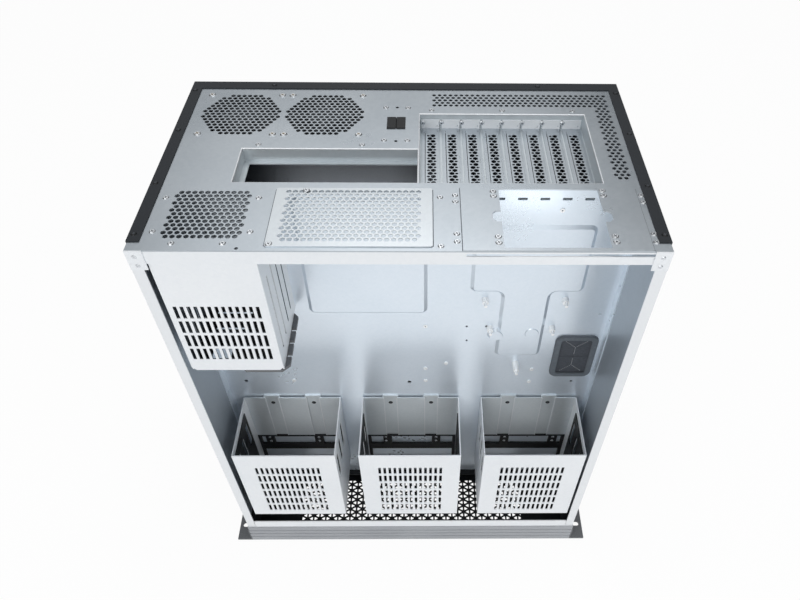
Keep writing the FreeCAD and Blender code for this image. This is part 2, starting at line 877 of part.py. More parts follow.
def make_cable_grommet():
    body = new_body("cable_grommet")
    left, right, low, high = grommet_faces()
    seat = cell("grommet_seat")
    rim = cell("grommet_rim")
    proud = cell("grommet_proud")
    face = tray_face - proud
    pad(body, "XZ", face, proud, [clipped(left, right, low, high, cell("grommet_corner"))])
    pad(body, "XZ", tray_face, metal, [rectangle(left + seat, right - seat, low + seat, high - seat)])
    middle = (low + high) / 2
    bar = cell("grommet_bar") / 2
    wells = [
        rectangle(left + rim, right - rim, low + rim, middle - bar),
        rectangle(left + rim, right - rim, middle + bar, high - rim),
    ]
    depth = proud + metal - cell("grommet_skin")
    cut(body, "XZ", face, depth, wells)
    slit = cell("grommet_slit") / 2
    centre = (left + right) / 2
    slits = [
        rectangle(centre - slit, centre + slit, low + rim * 2, middle - rim),
        rectangle(centre - slit, centre + slit, middle + rim, high - rim * 2),
    ]
    cut(body, "XZ", tray_back - cell("grommet_skin"), cell("grommet_skin"), slits)


def make_peg_prism(name, radius, length, x, y, z):
    """A six-sided length of a peg that points at the open side of the case."""
    prism = doc.addObject("Part::Prism", name)
    prism.Polygon = 6
    bind(prism, "Circumradius", radius)
    bind(prism, "Height", length)
    prism.Placement.Rotation = FreeCAD.Rotation(FreeCAD.Vector(1, 0, 0), 90)
    bind(prism, ".Placement.Base.x", x)
    bind(prism, ".Placement.Base.y", y)
    bind(prism, ".Placement.Base.z", z)
    return prism


def make_pegs():
    places = [
        (crown_x - cell("peg_wide") / 2, crown_shoulder - cell("peg_high_drop"), cell("peg_length")),
        (crown_x + cell("peg_wide") / 2, crown_shoulder - cell("peg_high_drop"), cell("peg_length")),
        (crown_x - cell("peg_narrow") / 2, crown_shoulder - cell("peg_mid_drop"), cell("peg_length")),
        (crown_x + cell("peg_narrow") / 2, crown_shoulder - cell("peg_mid_drop"), cell("peg_length")),
        (crown_x, crown_shoulder - cell("peg_low_drop"), cell("peg_low_length")),
    ]
    pegs = []
    for x, z, length in places:
        base = make_peg_prism("peg_base", cell("peg_radius"), length, x, tray_face, z)
        step = tray_face - length
        tip = make_peg_prism("peg_tip", cell("peg_tip_radius"), cell("peg_tip_length"), x, step, z)
        peg = doc.addObject("Part::Fuse", "peg")
        peg.Base = base
        peg.Tool = tip
        pegs.append(peg)
    group = doc.addObject("Part::Compound", "plate_standoffs")
    group.Label = "plate_standoffs"
    group.Links = pegs
    subparts.append(group)


# Drive cages


def make_rear_cage():
    body = new_body("rear_drive_cage")
    face_back = near_inside + metal
    section = [
        (rear_cage_left, near_inside),
        (rear_cage_right, near_inside),
        (rear_cage_right, tray_face),
        (rear_cage_right - metal, tray_face),
        (rear_cage_right - metal, face_back),
        (rear_cage_left + metal, face_back),
        (rear_cage_left + metal, tray_face),
        (rear_cage_left, tray_face),
    ]
    pad(body, "XY", rear_cage_front, panel_under - rear_cage_front, [section])
    chamfer = cell("rear_cage_chamfer")
    corners = [
        [
            (rear_cage_left, rear_cage_front),
            (rear_cage_left + chamfer, rear_cage_front),
            (rear_cage_left, rear_cage_front + chamfer),
        ],
        [
            (rear_cage_right, rear_cage_front),
            (rear_cage_right, rear_cage_front + chamfer),
            (rear_cage_right - chamfer, rear_cage_front),
        ],
    ]
    cut(body, "XZ", near_inside, metal, corners)
    width = cell("rear_slot_width")
    length = cell("rear_slot_length")
    pitch = cell("rear_slot_pitch")
    row = cell("rear_slot_row")
    columns = count_in(cell("rear_cage_width") - width * 2 - metal * 2, pitch)
    first = (rear_cage_left + rear_cage_right) / 2 - pitch * ((columns - 1) / 2) - width / 2
    low = rear_cage_front + cell("rear_slot_margin")
    slots = cut(body, "XZ", near_inside, metal, [rectangle(first, first + width, low, low + length)])
    repeat(body, slots, columns, pitch, REAR_SLOT_ROWS, row)
    side_slot = cell("rear_side_slot")
    side_pitch = cell("rear_side_slot_pitch")
    start = face_back + cell("rear_side_slot_margin")
    count = count_in(tray_face - start - cell("rear_side_slot_margin"), side_pitch)
    side_low = (rear_cage_front + panel_under - cell("rear_side_slot_length")) / 2
    side = rectangle(start, start + side_slot, side_low, side_low + cell("rear_side_slot_length"))
    sides = cut(body, "YZ", rear_cage_left, cell("rear_cage_width"), [side])
    repeat(body, sides, count, side_pitch)


def make_cage_end_plate():
    body = new_body("cage_end_plate")
    right = rear_cage_right + cell("end_plate_reach")
    left = right - cell("end_plate_width")
    high = tray_face - cell("end_plate_gap")
    start = rear_cage_front - cell("end_plate_metal")
    outline = clipped(left, right, near_inside, high, cell("end_plate_corner"))
    pad(body, "XY", start, cell("end_plate_metal"), [outline])
    pitch = cell("end_notch_pitch")
    count = count_in(high - near_inside - pitch * 2, pitch)
    low = near_inside + pitch
    notch = rectangle(rear_cage_right, right, low, low + cell("end_notch_width"))
    notches = cut(body, "XY", start, cell("end_plate_metal"), [notch])
    repeat(body, notches, 1, pitch, count, pitch)


def make_front_cage(hand, side):
    body = new_body(f"front_cage_{hand}")
    middle = cage_middle + cage_pitch * side
    left = middle - cage_width / 2
    right = middle + cage_width / 2
    start = cell("cage_start")
    shell = [
        rectangle(left, right, near_inside, cage_back),
        rectangle(left + metal, right - metal, near_inside + metal, cage_back - metal),
    ]
    pad(body, "XY", start, cell("cage_depth"), shell)
    far_face = cage_back - metal
    cut(body, "XZ", far_face, metal, [rectangle(left + metal, right - metal, start, stop_end)])
    rib = cell("cage_rib_width") / 2
    span = cell("cage_rib_span") / 2
    rib_middles = [middle - span, middle + span]
    ribs = [rectangle(x - rib, x + rib, cage_back, tray_face) for x in rib_middles]
    pad(body, "XY", stop_end, cage_end - stop_end + cell("cage_rib_rise"), ribs)
    channel = rib - cell("cage_rib_lap")
    channels = [rectangle(x - channel, x + channel, stop_end, cage_end) for x in rib_middles]
    cut(body, "XZ", far_face, metal, channels)
    width = cell("cage_slot_width")
    length = cell("cage_slot_length")
    pitch = cell("cage_slot_pitch")
    columns = count_in(cage_width - cell("cage_slot_margin") * 2 - width * 2, pitch)
    rows = count_in(cell("cage_depth") - cell("cage_slot_margin") * 2 - length, cell("cage_slot_row"))
    first = middle - pitch * ((columns - 1) / 2) - width / 2
    low = start + cell("cage_slot_margin")
    slots = cut(body, "XZ", near_inside, metal, [rectangle(first, first + width, low, low + length)])
    repeat(body, slots, columns, pitch, rows, cell("cage_slot_row"))
    window = cell("cage_side_window")
    window_pitch = cell("cage_side_window_pitch")
    count = count_in(cage_back - near_inside - window * 2, window_pitch)
    near = (near_inside + cage_back) / 2 - window_pitch * ((count - 1) / 2) - window / 2
    high = cage_end - cell("cage_side_window_drop")
    side_window = rectangle(near, near + window, high - cell("cage_side_window_length"), high)
    windows = cut(body, "YZ", left, cage_width, [side_window])
    repeat(body, windows, count, window_pitch)


def make_drive_stop(hand, side):
    body = new_body(f"drive_stop_{hand}")
    middle = cage_middle + cage_pitch * side
    left = middle - cage_width / 2 + metal
    right = middle + cage_width / 2 - metal
    start = cell("cage_start")
    edge = cell("stop_edge")
    bar = cell("stop_bar")
    shift = cell("stop_spread") * side
    first = left + cell("stop_margin") + shift
    second = right - cell("stop_margin") + shift
    columns = [(left + edge, first), (first + bar, second - bar), (second, right - edge)]
    rail = start + cell("stop_rail_rise")
    upper = rail + cell("stop_rail")
    outlines = [rectangle(left, right, start, stop_end)]
    outlines += [rectangle(left + edge, right - edge, start + edge, rail)]
    outlines += [rectangle(low, high, upper, stop_end - edge) for low, high in columns]
    pad(body, "XZ", tray_face - cell("stop_metal"), cell("stop_metal"), outlines)


# Front


def make_front_frame():
    body = new_body("front_frame")
    side = wall_out - cell("window_edge")
    bar = cell("window_bar")
    edge = cell("window_edge")
    sheet_outline = rectangle(-wall_out, wall_out, near_skin, cover_under)
    lower = rectangle(-side, side, near_inside + bar, tray_face - bar)
    upper = rectangle(-side, side, tray_back + bar, cover_under - edge)
    pad(body, "XY", bezel_back, metal, [sheet_outline, lower, upper])
    lip = rectangle(-lip_half, lip_half, near_skin, near_inside)
    pad(body, "XY", frame_back, cell("front_lip"), [lip])


def make_front_mesh():
    body = new_body("front_mesh")
    wall = cell("bezel_wall")
    level = cell("mesh_level")
    across = half_width - wall
    up = half_height - wall
    pad(body, "XY", level, metal, [rectangle(-across, across, -up, up)])
    pitch = cell("mesh_pitch")
    web = cell("mesh_web")
    inset = cell("bezel_border") + cell("mesh_edge")
    side = half_width - cell("mesh_side") - pitch / 2
    bar = cell("window_bar") + cell("mesh_edge")
    hex_field(body, level, metal, -side, side, inset - half_height, tray_face - bar, pitch, web)
    hex_field(body, level, metal, -side, side, tray_back + bar, half_height - inset, pitch, web)


def make_front_bezel():
    body = new_body("front_bezel")
    wall = cell("bezel_wall")
    border = cell("bezel_border")
    outer = rectangle(-half_width, half_width, -half_height, half_height)
    inner = rectangle(wall - half_width, half_width - wall, wall - half_height, half_height - wall)
    pad(body, "XY", 0, bezel_back, [outer, inner])
    rim = rectangle(border - half_width, half_width - border, border - half_height, half_height - border)
    pad(body, "XY", 0, cell("bezel_face"), [outer, rim])
    width = cell("groove_width")
    depth = cell("groove_depth")
    pitch = cell("groove_pitch")
    count = count_in(bezel_back - pitch * 2, pitch)
    for level in (-half_height, half_height - depth):
        groove = rectangle(-half_width, half_width, pitch, pitch + width)
        grooves = cut(body, "XZ", level, depth, [groove])
        repeat(body, grooves, 1, pitch, count, pitch)


def make_rack_ear(hand, side):
    body = new_body(f"rack_ear_{hand}")
    outer = (half_width + cell("ear_reach")) * side
    inner = half_width * side
    leg = (half_width + cell("ear_leg_metal")) * side
    metal_ear = cell("ear_metal")
    section = [
        (inner, as_size(0)),
        (outer, as_size(0)),
        (outer, metal_ear),
        (leg, metal_ear),
        (leg, cell("ear_leg")),
        (inner, cell("ear_leg")),
    ]
    pad(body, "XZ", -half_height, half_height * 2, [section])
    half = cell("rack_slot_width") / 2
    straight = cell("rack_slot_length") / 2 - half
    middle = (half_width + cell("ear_slot_reach")) * side
    rise = half_height - cell("ear_slot_inset")
    for y in (-rise, rise):
        cut(body, "XY", 0, metal_ear, [rectangle(middle - straight, middle + straight, y - half, y + half)])
        for end in (middle - straight, middle + straight):
            cut(body, "XY", 0, metal_ear, [], [((end, y), half)])


def check_model():
    for item in doc.Objects:
        if "Invalid" in item.State or "Error" in item.State:
            raise RuntimeError(f"{item.Label} did not build: {item.State}")
    for item in subparts:
        if item.Shape.isNull() or not item.Shape.isValid():
            raise RuntimeError(f"{item.Label} has no valid shape")


def write_parts():
    os.makedirs("parts", exist_ok=True)
    for item in subparts:
        item.Shape.exportStep(f"parts/{item.Label}.step")
        print(item.Label, len(item.Shape.Solids), round(item.Shape.Volume))


make_rear_panel()
make_top_cover()
make_recess_frame()
for number in range(1, SLOT_COUNT + 1):
    make_slot_cover(number)
make_psu_cover_plate()
make_psu_bracket()
make_mid_plate()
make_cable_grommet()
make_pegs()
make_rear_cage()
make_cage_end_plate()
make_front_frame()
make_front_mesh()
make_front_bezel()
for hand, side in HAND_SIDES.items():
    make_side_wall(hand, side)
    make_corner_gusset(hand, side)
    make_rack_ear(hand, side)
    make_plug(hand)
    make_fan_frame(hand)
    make_fan_rotor(hand)
for hand, side in CAGE_SIDES.items():
    make_front_cage(hand, side)
    make_drive_stop(hand, side)
doc.recompute()
check_model()
write_parts()
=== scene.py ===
# %% [markdown]
# # A rack-mount computer case standing on its front
# The case is folded and punched sheet steel: a galvanised rear panel on top, a dark painted wrap-round cover
# behind, pale zinc-plated cages in the open lower bay and a black mesh at the front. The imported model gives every
# piece its place and size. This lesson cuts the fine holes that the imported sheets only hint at, adds the screws and
# gives each surface its finish.

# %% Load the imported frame
import math

import bmesh
import bpy
from mathutils import Matrix, Vector


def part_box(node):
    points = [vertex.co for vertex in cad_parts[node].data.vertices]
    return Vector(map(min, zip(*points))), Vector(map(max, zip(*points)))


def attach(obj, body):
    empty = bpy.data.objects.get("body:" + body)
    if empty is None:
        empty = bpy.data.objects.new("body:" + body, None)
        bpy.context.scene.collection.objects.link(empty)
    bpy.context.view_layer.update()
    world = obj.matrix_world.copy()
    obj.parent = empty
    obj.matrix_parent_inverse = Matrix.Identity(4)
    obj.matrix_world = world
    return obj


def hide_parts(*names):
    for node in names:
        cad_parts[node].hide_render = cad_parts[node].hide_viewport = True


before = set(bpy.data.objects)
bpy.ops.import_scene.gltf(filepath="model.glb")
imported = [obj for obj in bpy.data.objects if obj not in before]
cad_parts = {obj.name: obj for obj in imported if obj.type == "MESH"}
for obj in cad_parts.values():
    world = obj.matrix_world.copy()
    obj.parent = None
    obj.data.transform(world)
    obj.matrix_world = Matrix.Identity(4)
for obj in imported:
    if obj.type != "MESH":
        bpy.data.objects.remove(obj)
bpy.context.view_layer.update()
MM = 0.001
case = "case"
print("nodes in the frame:", len(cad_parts))

# %% [markdown]
# ## Colours and one helper for nodes
# Colours are written as the hex values a designer would read off a paint chip. Blender's shaders work in linear
# light, so one function turns the hex value to linear. One more adds a shader node, sets its options and links its
# sockets, and three short forms cover arithmetic, ranges and a blend of two tones, so that each finish below reads as
# a short list of what the surface is made of.

# %% Colour and node helpers
def linear(code):
    parts = [int(code[start : start + 2], 16) / 255 for start in (1, 3, 5)]
    return [p / 12.92 if p <= 0.04045 else ((p + 0.055) / 1.055) ** 2.4 for p in parts] + [1.0]


def add_node(tree, kind, inputs=None, **settings):
    node = tree.nodes.new(kind)
    for name, value in settings.items():
        setattr(node, name, value)
    for socket, value in (inputs or {}).items():
        if isinstance(value, bpy.types.NodeSocket):
            tree.links.new(value, node.inputs[socket])
        else:
            node.inputs[socket].default_value = value
    return node


def compute(tree, operation, *values):
    return add_node(tree, "ShaderNodeMath", dict(enumerate(values)), operation=operation).outputs["Value"]


def remap(tree, value, start, end, first, last, **settings):
    """Carries a value over from one range to another."""
    ranges = {"Value": value, "From Min": start, "From Max": end, "To Min": first, "To Max": last}
    return add_node(tree, "ShaderNodeMapRange", ranges, **settings).outputs["Result"]


def two_tone(tree, value, dark, light, dark_at, light_at):
    """A blend from a dark tone to a light one between two values."""
    ramp = add_node(tree, "ShaderNodeValToRGB", {"Fac": value})
    ramp.color_ramp.elements[0].position = dark_at
    ramp.color_ramp.elements[0].color = linear(dark)
    ramp.color_ramp.elements[1].position = light_at
    ramp.color_ramp.elements[1].color = linear(light)
    return ramp.outputs["Color"]


def new_material(name):
    material = bpy.data.materials.new(name)
    material.use_nodes = True
    material.node_tree.nodes.clear()
    return material, material.node_tree


print("black in linear light:", linear("#1b1d20"))

# %% [markdown]
# ## Sheet steel finishes
# Hot-dip galvanised sheet is steel with a skin of zinc. The zinc cools in flakes, called spangle, a few millimetres
# across, and each flake mirrors the room a little differently. A Voronoi pattern gives the flakes, and a broad noise
# gives the faint clouds of rolled sheet. The metal is satin, so its roughness stays in the middle of the range. The
# flanges that are folded to the near side catch the light of the room, so a brighter tone is painted on them as a
# highlight.

# %% Galvanised and zinc-plated sheet
HIGHLIGHT_FOLD_Y = -130.2 * MM
CLOUD_MM = 120
FLAKE_SHARE = 0.25


def painted_fold_highlight(tree, where, colour, fold_highlight):
    """Paints a highlight colour on the flanges folded to the near side, where they catch the light."""
    split = add_node(tree, "ShaderNodeSeparateXYZ", {"Vector": where})
    near = compute(tree, "LESS_THAN", split.outputs["Y"], HIGHLIGHT_FOLD_Y)
    mix = add_node(tree, "ShaderNodeMixRGB", {"Fac": near, "Color1": colour, "Color2": linear(fold_highlight)})
    return mix.outputs["Color"]


def zinc_sheet(name, dark, light, spangle_mm, rough, metallic, fold_highlight=None):
    material, tree = new_material(name)
    coords = add_node(tree, "ShaderNodeTexCoord")
    where = coords.outputs["Object"]
    flakes = add_node(tree, "ShaderNodeTexVoronoi", {"Vector": where, "Scale": 1 / (spangle_mm * MM)})
    cloud = add_node(tree, "ShaderNodeTexNoise", {"Vector": where, "Scale": 1 / (CLOUD_MM * MM), "Detail": 2.0})
    tone = compute(tree, "MULTIPLY_ADD", flakes.outputs["Color"], FLAKE_SHARE, cloud.outputs["Fac"])
    colour = two_tone(tree, tone, dark, light, 0.35, 0.9)
    # A fold colour is a painted highlight on the near flanges.
    if fold_highlight:
        colour = painted_fold_highlight(tree, where, colour, fold_highlight)
    gloss = remap(tree, tone, 0.3, 1.0, rough - 0.04, rough + 0.04)
    relief = add_node(
        tree, "ShaderNodeBump", {"Height": flakes.outputs["Distance"], "Strength": 0.02, "Distance": 0.1 * MM}
    )
    shader = add_node(
        tree,
        "ShaderNodeBsdfPrincipled",
        {
            "Base Color": colour,
            "Metallic": metallic,
            "Roughness": gloss,
            "Normal": relief.outputs["Normal"],
        },
    )
    add_node(tree, "ShaderNodeOutputMaterial", {"Surface": shader.outputs["BSDF"]})
    return material


# Bare galvanised sheet: a satin grey that mirrors the room in soft bands.
galvanised = zinc_sheet("galvanised_sheet", "#aab2b9", "#b6bdc3", 3.5, 0.3, 0.85)
# The same sheet at the side walls: duller, with a painted highlight on the flanges at the open side.
wall_zinc = zinc_sheet("galvanised_wall_sheet", "#a6afb7", "#b2bac2", 3.5, 0.4, 0.6, "#e3e6e9")
# Zinc plate on the mid plate: pale and a little blue.
pale_zinc = zinc_sheet("zinc_plated_sheet", "#d9e4ee", "#e2ebf4", 3.0, 0.3, 0.6)
# Bright zinc plate on the cages and gussets: nearly white, with a faint mirror. On the tabs, the lip, the rolled edges
# and the cages' bends the same tone is a painted highlight.
bright_zinc_and_highlight = zinc_sheet("bright_zinc_and_painted_highlight", "#dfe3e7", "#e7eaed", 3.0, 0.45, 0.3)
# The back walls of the front cages: the same plate a little darker, as painted shade.
shaded_far_zinc = zinc_sheet("far_wall_zinc_painted_shade", "#cdd5d9", "#d8dee2", 3.0, 0.35, 0.6)
# The inside of the rear cage: the same plate painted dark grey as shade.
inside_shade_zinc = zinc_sheet("unlit_zinc_sheet", "#666d73", "#737a80", 3.0, 0.45, 0.6)
# The power supply's cover plate: brushed, lighter than the panel round it.
plate_zinc = zinc_sheet("brushed_zinc_plate", "#bfc5ca", "#cad0d4", 3.0, 0.3, 0.75)
# The sunk frame round connectors and slots: pale satin zinc.
recess_zinc = zinc_sheet("recess_zinc_sheet", "#c0c8cd", "#ccd3d7", 3.0, 0.4, 0.5)
print("sheet finishes:", galvanised.name, wall_zinc.name, pale_zinc.name, bright_zinc_and_highlight.name)

# %% [markdown]
# ## Paint, plastic and rubber
# The cover and the front are powder coated: paint baked on as dust, which leaves a fine pebbled skin with grains
# well under a millimetre. That is too fine to show at this distance, so the grain here is drawn at about twice its
# size. Moulded plastic and rubber use the same recipe with other tones and less gloss.

# %% Coated, moulded and rubber surfaces
WEAR_MM = 80


def skin(name, dark, light, grain_mm, rough, bump, fold_highlight=None):
    material, tree = new_material(name)
    coords = add_node(tree, "ShaderNodeTexCoord")
    where = coords.outputs["Object"]
    grain = add_node(
        tree, "ShaderNodeTexNoise", {"Vector": where, "Scale": 1 / (grain_mm * MM), "Detail": 2.0, "Roughness": 0.6}
    )
    wear = add_node(tree, "ShaderNodeTexNoise", {"Vector": where, "Scale": 1 / (WEAR_MM * MM), "Detail": 4.0})
    tone = compute(tree, "MULTIPLY", grain.outputs["Fac"], wear.outputs["Fac"])
    colour = two_tone(tree, tone, dark, light, 0.12, 0.4)
    # A fold colour is a painted highlight on the near flanges.
    if fold_highlight:
        colour = painted_fold_highlight(tree, where, colour, fold_highlight)
    gloss = remap(tree, wear.outputs["Fac"], 0.3, 0.7, rough - 0.06, rough + 0.06)
    relief = add_node(
        tree, "ShaderNodeBump", {"Height": grain.outputs["Fac"], "Strength": bump, "Distance": 0.15 * MM}
    )
    shader = add_node(
        tree,
        "ShaderNodeBsdfPrincipled",
        {
            "Base Color": colour,
            "Roughness": gloss,
            "Specular IOR Level": 0.3,
            "Normal": relief.outputs["Normal"],
        },
    )
    add_node(tree, "ShaderNodeOutputMaterial", {"Surface": shader.outputs["BSDF"]})
    return material


# Powder coat on the cover: charcoal, with a soft sheen along the rim.
charcoal_coat = skin("charcoal_powder_coat", "#1f2328", "#282c31", 1.2, 0.55, 0.25)
# Powder coat on the mesh and the drive stops: near black and even.
black_coat = skin("black_powder_coat", "#0c0e10", "#14161a", 1.2, 0.5, 0.2)
# The same coat on the front frame, with a painted highlight on its folded lip.
frame_coat = skin("black_frame_coat", "#0c0e10", "#14161a", 1.2, 0.5, 0.2, "#e6e9ec")
# The coat of the front surround, a middle grey, and of the rack ears, a dark one.
grey_coat = skin("grey_powder_coat", "#96999e", "#a6a9ad", 1.2, 0.5, 0.15)
ear_coat = skin("dark_grey_powder_coat", "#5c5f63", "#6b6e71", 1.2, 0.5, 0.2)
# The cable pass: a grey rubber rim and darker flaps, both without gloss.
rim_rubber = skin("moulded_grey_rubber", "#5d646b", "#6a7178", 2.0, 0.7, 0.2)
rubber = skin("moulded_black_rubber", "#42464c", "#50545b", 2.0, 0.75, 0.3)
# Moulded plastic: black with a low gloss, and a lighter black for the glass-filled fan blades.
black_plastic = skin("moulded_black_plastic", "#101114", "#191b1e", 1.5, 0.45, 0.1)
fan_plastic = skin("glass_filled_fan_plastic", "#24262a", "#33363b", 1.5, 0.45, 0.12)
print("coated finishes:", charcoal_coat.name, black_coat.name, grey_coat.name)

# %% [markdown]
# ## Fastener metals
# The screws are turned steel with a bright nickel plate, black oxide on the cover, and brass in the fan posts.
# Their recesses are in shadow, so a darker steel is painted into them as shade.

# %% Fastener finishes
MARK_MM = 1.5


def plated(name, colour, rough, metallic=0.9):
    material, tree = new_material(name)
    coords = add_node(tree, "ShaderNodeTexCoord")
    marks = add_node(
        tree, "ShaderNodeTexNoise", {"Vector": coords.outputs["Object"], "Scale": 1 / (MARK_MM * MM), "Detail": 2.0}
    )
    gloss = remap(tree, marks.outputs["Fac"], 0.3, 0.7, rough - 0.06, rough + 0.08)
    shader = add_node(
        tree, "ShaderNodeBsdfPrincipled", {"Base Color": linear(colour), "Metallic": metallic, "Roughness": gloss}
    )
    add_node(tree, "ShaderNodeOutputMaterial", {"Surface": shader.outputs["BSDF"]})
    return material


# Nickel on pan heads: bright, with soft glints.
nickel = plated("nickel_plate", "#d9dde1", 0.28)
# Painted shade in a screw's recess or a gap between sheets: a dull grey steel.
painted_shade_steel = plated("shadowed_steel", "#5a5f66", 0.5, 0.6)
# Black oxide on the cover's screws: dark with a trace of metal.
black_oxide = plated("black_oxide", "#1d1f22", 0.45, 0.4)
# Pegs and pressed-in nuts: almost white.
bright_peg = plated("bright_nickel_peg", "#f4f6f7", 0.4, 0.25)
# Brass in the fan posts: a dull yellow grey.
brass = plated("brass_insert", "#8d7f66", 0.4, 0.7)
print("fastener finishes:", nickel.name, black_oxide.name, brass.name)

# %% [markdown]
# ## Cutting sheets
# A punched sheet is an outline with holes. Each hole starts as a bmesh circle with few sides: six for a honeycomb
# hole, eight for a slot, four for a square window. Pulling the quarters of such a ring apart turns it
# into a slot or a rounded window. The fill operator then closes the sheet between the outline and the holes, and an
# extrusion gives it its thickness. This way every hole is real and shows what is behind it.

# %% Rings, windows and slots
SQUARE_SEED = 0.2
SLOT_CORNER = 0.4


def ring(sheet, sides, radius, x, y, turn=0.0):
    place = Matrix.Translation((x, y, 0)) @ Matrix.Rotation(turn, 4, "Z")
    return bmesh.ops.create_circle(sheet, cap_ends=False, segments=sides, radius=radius, matrix=place)["verts"]


def window(sheet, left, right, low, high, corner=0.0, sides=16):
    """A ring pulled out to a window; a corner of 0 leaves it square."""
    x, y = (left + right) / 2, (low + high) / 2
    if corner == 0.0:
        corner, sides, radius = SQUARE_SEED, 4, SQUARE_SEED * math.sqrt(2)
    else:
        radius = corner
    verts = ring(sheet, sides, radius, x, y, math.pi / sides)
    for vert in verts:
        vert.co.x += math.copysign((right - left) / 2 - corner, vert.co.x - x)
        vert.co.y += math.copysign((high - low) / 2 - corner, vert.co.y - y)
    return verts


def slot(sheet, x, y, width, length):
    """A punched slot that runs up the sheet, its corners just broken."""
    return window(sheet, x - width / 2, x + width / 2, y - length / 2, y + length / 2, SLOT_CORNER, 8)


print("square windows start from a square of", 2 * SQUARE_SEED, "mm")

# %% [markdown]
# ## Laying sheets into a piece
# Every sheet is drawn flat and then laid where it belongs: face up, facing the open side, or on edge along a wall. A
# folded box is several sheets laid into one piece. A face can carry a second material, as where the inside of a box is
# painted darker than its outside as shade.

# %% Sheets and finished pieces
LAY = {
    "up": lambda level: Matrix.Translation((0, 0, level)),
    "near": lambda level: Matrix(((1, 0, 0, 0), (0, 0, 1, level), (0, 1, 0, 0), (0, 0, 0, 1))),
    "side": lambda level: Matrix(((0, 0, 1, level), (1, 0, 0, 0), (0, 1, 0, 0), (0, 0, 0, 1))),
}
TO_NEAR = Matrix.Rotation(math.pi / 2, 4, "X")
INSIDE_DEPTH = 5


def merge_into(piece, part):
    scratch = bpy.data.meshes.new("scratch")
    part.to_mesh(scratch)
    part.free()
    piece.from_mesh(scratch)
    bpy.data.meshes.remove(scratch)


def thicken(sheet, depth):
    raised = bmesh.ops.extrude_face_region(sheet, geom=sheet.faces[:], use_keep_orig=True)
    moved = [item for item in raised["geom"] if isinstance(item, bmesh.types.BMVert)]
    bmesh.ops.translate(sheet, verts=moved, vec=(0, 0, depth))


def tint(part, index):
    """Gives all the faces made so far one of a piece's materials."""
    for face in part.faces:
        face.material_index = index


def lay_sheet(piece, sheet, depth, lay, level, material=0):
    """Fills a sheet between its rings, thickens it and lays it into a piece."""
    bmesh.ops.triangle_fill(sheet, use_beauty=True, use_dissolve=False, edges=sheet.edges[:])
    thicken(sheet, depth)
    bmesh.ops.transform(sheet, matrix=LAY[lay](level), verts=sheet.verts[:])
    bmesh.ops.recalc_face_normals(sheet, faces=sheet.faces[:])
    tint(sheet, material)
    merge_into(piece, sheet)


def shade_inside(piece, middle, index):
    """Gives another material to the faces that look towards the middle of a box, to paint their shade."""
    for face in piece.faces:
        if (Vector(middle) - face.calc_center_median()).dot(face.normal) > INSIDE_DEPTH:
            face.material_index = index


def finish_piece(piece, name, materials, replaced=(), smooth=False, body=case):
    """Turns a bmesh in millimetres into a piece in metres that rides on a body."""
    bmesh.ops.scale(piece, vec=(MM, MM, MM), verts=piece.verts[:])
    mesh = bpy.data.meshes.new(name)
    piece.to_mesh(mesh)
    piece.free()
    for material in materials:
        mesh.materials.append(material)
    for face in mesh.polygons:
        face.use_smooth = smooth
    thing = bpy.data.objects.new(name, mesh)
    bpy.context.scene.collection.objects.link(thing)
    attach(thing, body)
    if replaced:
        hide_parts(*replaced)
    print(name, len(mesh.polygons), "faces")
    return thing


def node_span(name):
    low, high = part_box(name)
    return low / MM, high / MM


print("ways to lay a sheet:", ", ".join(LAY))

# %% [markdown]
# ## Honeycomb vents
# All vents of the rear panel share one punch: hexagons 5.63 mm apart in rows 4.88 mm apart, each second row set over
# by half a step. One function punches a row, and each vent is a list of rows.

# %% Honeycomb punch
HEX_PITCH = 5.63
HEX_ROW = HEX_PITCH * math.sqrt(3) / 2
HEX_RADIUS = 2.5


def hex_row(sheet, first_x, y, count, radius=HEX_RADIUS):
    for step in range(count):
        ring(sheet, 6, radius, first_x + step * HEX_PITCH, y)


def round_vent(sheet, x, y, reach, rows):
    """A round field of honeycomb holes in front of a fan."""
    for row in range(-rows, rows + 1):
        shift = HEX_PITCH / 2 * (row % 2)
        for step in range(-8, 9):
            across, up = step * HEX_PITCH + shift, row * HEX_ROW
            if math.hypot(across, up) < reach:
                ring(sheet, 6, HEX_RADIUS, x + across, y + up)


print("honeycomb rows are", round(HEX_ROW, 2), "mm apart")

# %% [markdown]
# ## Rear panel
# The rear panel is the busiest sheet: two fan vents, an L-shaped vent under the cover's rim, a square vent, the two
# sunk windows for connectors and expansion slots, and two power supply openings. Its near edge folds down to a lip
# with a long slot. The edges of the sunk windows are rolled over, and that roll catches the light as a thin line, so
# it is built from rings of growing size joined by the bridge operator. The roll and the lip take the brighter zinc,
# a painted highlight.

# %% Rear panel sizes
panel_low, panel_high = node_span("rear_panel")
PANEL_METAL = 1.2
panel_face = panel_high.z
CONNECTOR = (-150.9, 12.6, -40.0, 11.8)
SLOTS = (14.5, 178.0, -40.0, 73.3)
PLUG = (-16.95, -0.15, 46.8, 65.2)
SUPPLY_PLATE = (-102.5, 19.0, -120.0, -56.8)
SUPPLY_BRACKET = (65.3, 189.4, -128.0, -49.2)
FANS = ((-162.0, 71.5), (-79.8, 71.5))
ROLL = 0.85
FAN_VENT = 37.4
SMALL_HEX = 2.15
PLAIN_HOLE = 1.6
COVER_VENT_LEFT, COVER_VENT_RIGHT, COVER_VENT_HIGH = 28.8, 203.3, 109.0
SQUARE_VENT_LEFT, SQUARE_VENT_HIGH = -191.2, -55.7
PANEL_HOLES = ((-8.2, 84.9), (-8.1, 25.0), (-131.2, -128.7))
LIP_LEFT, LIP_RIGHT = -209.5, 209.5
LIP_SLOT = (53.0, 208.0, 523.2, 526.2)


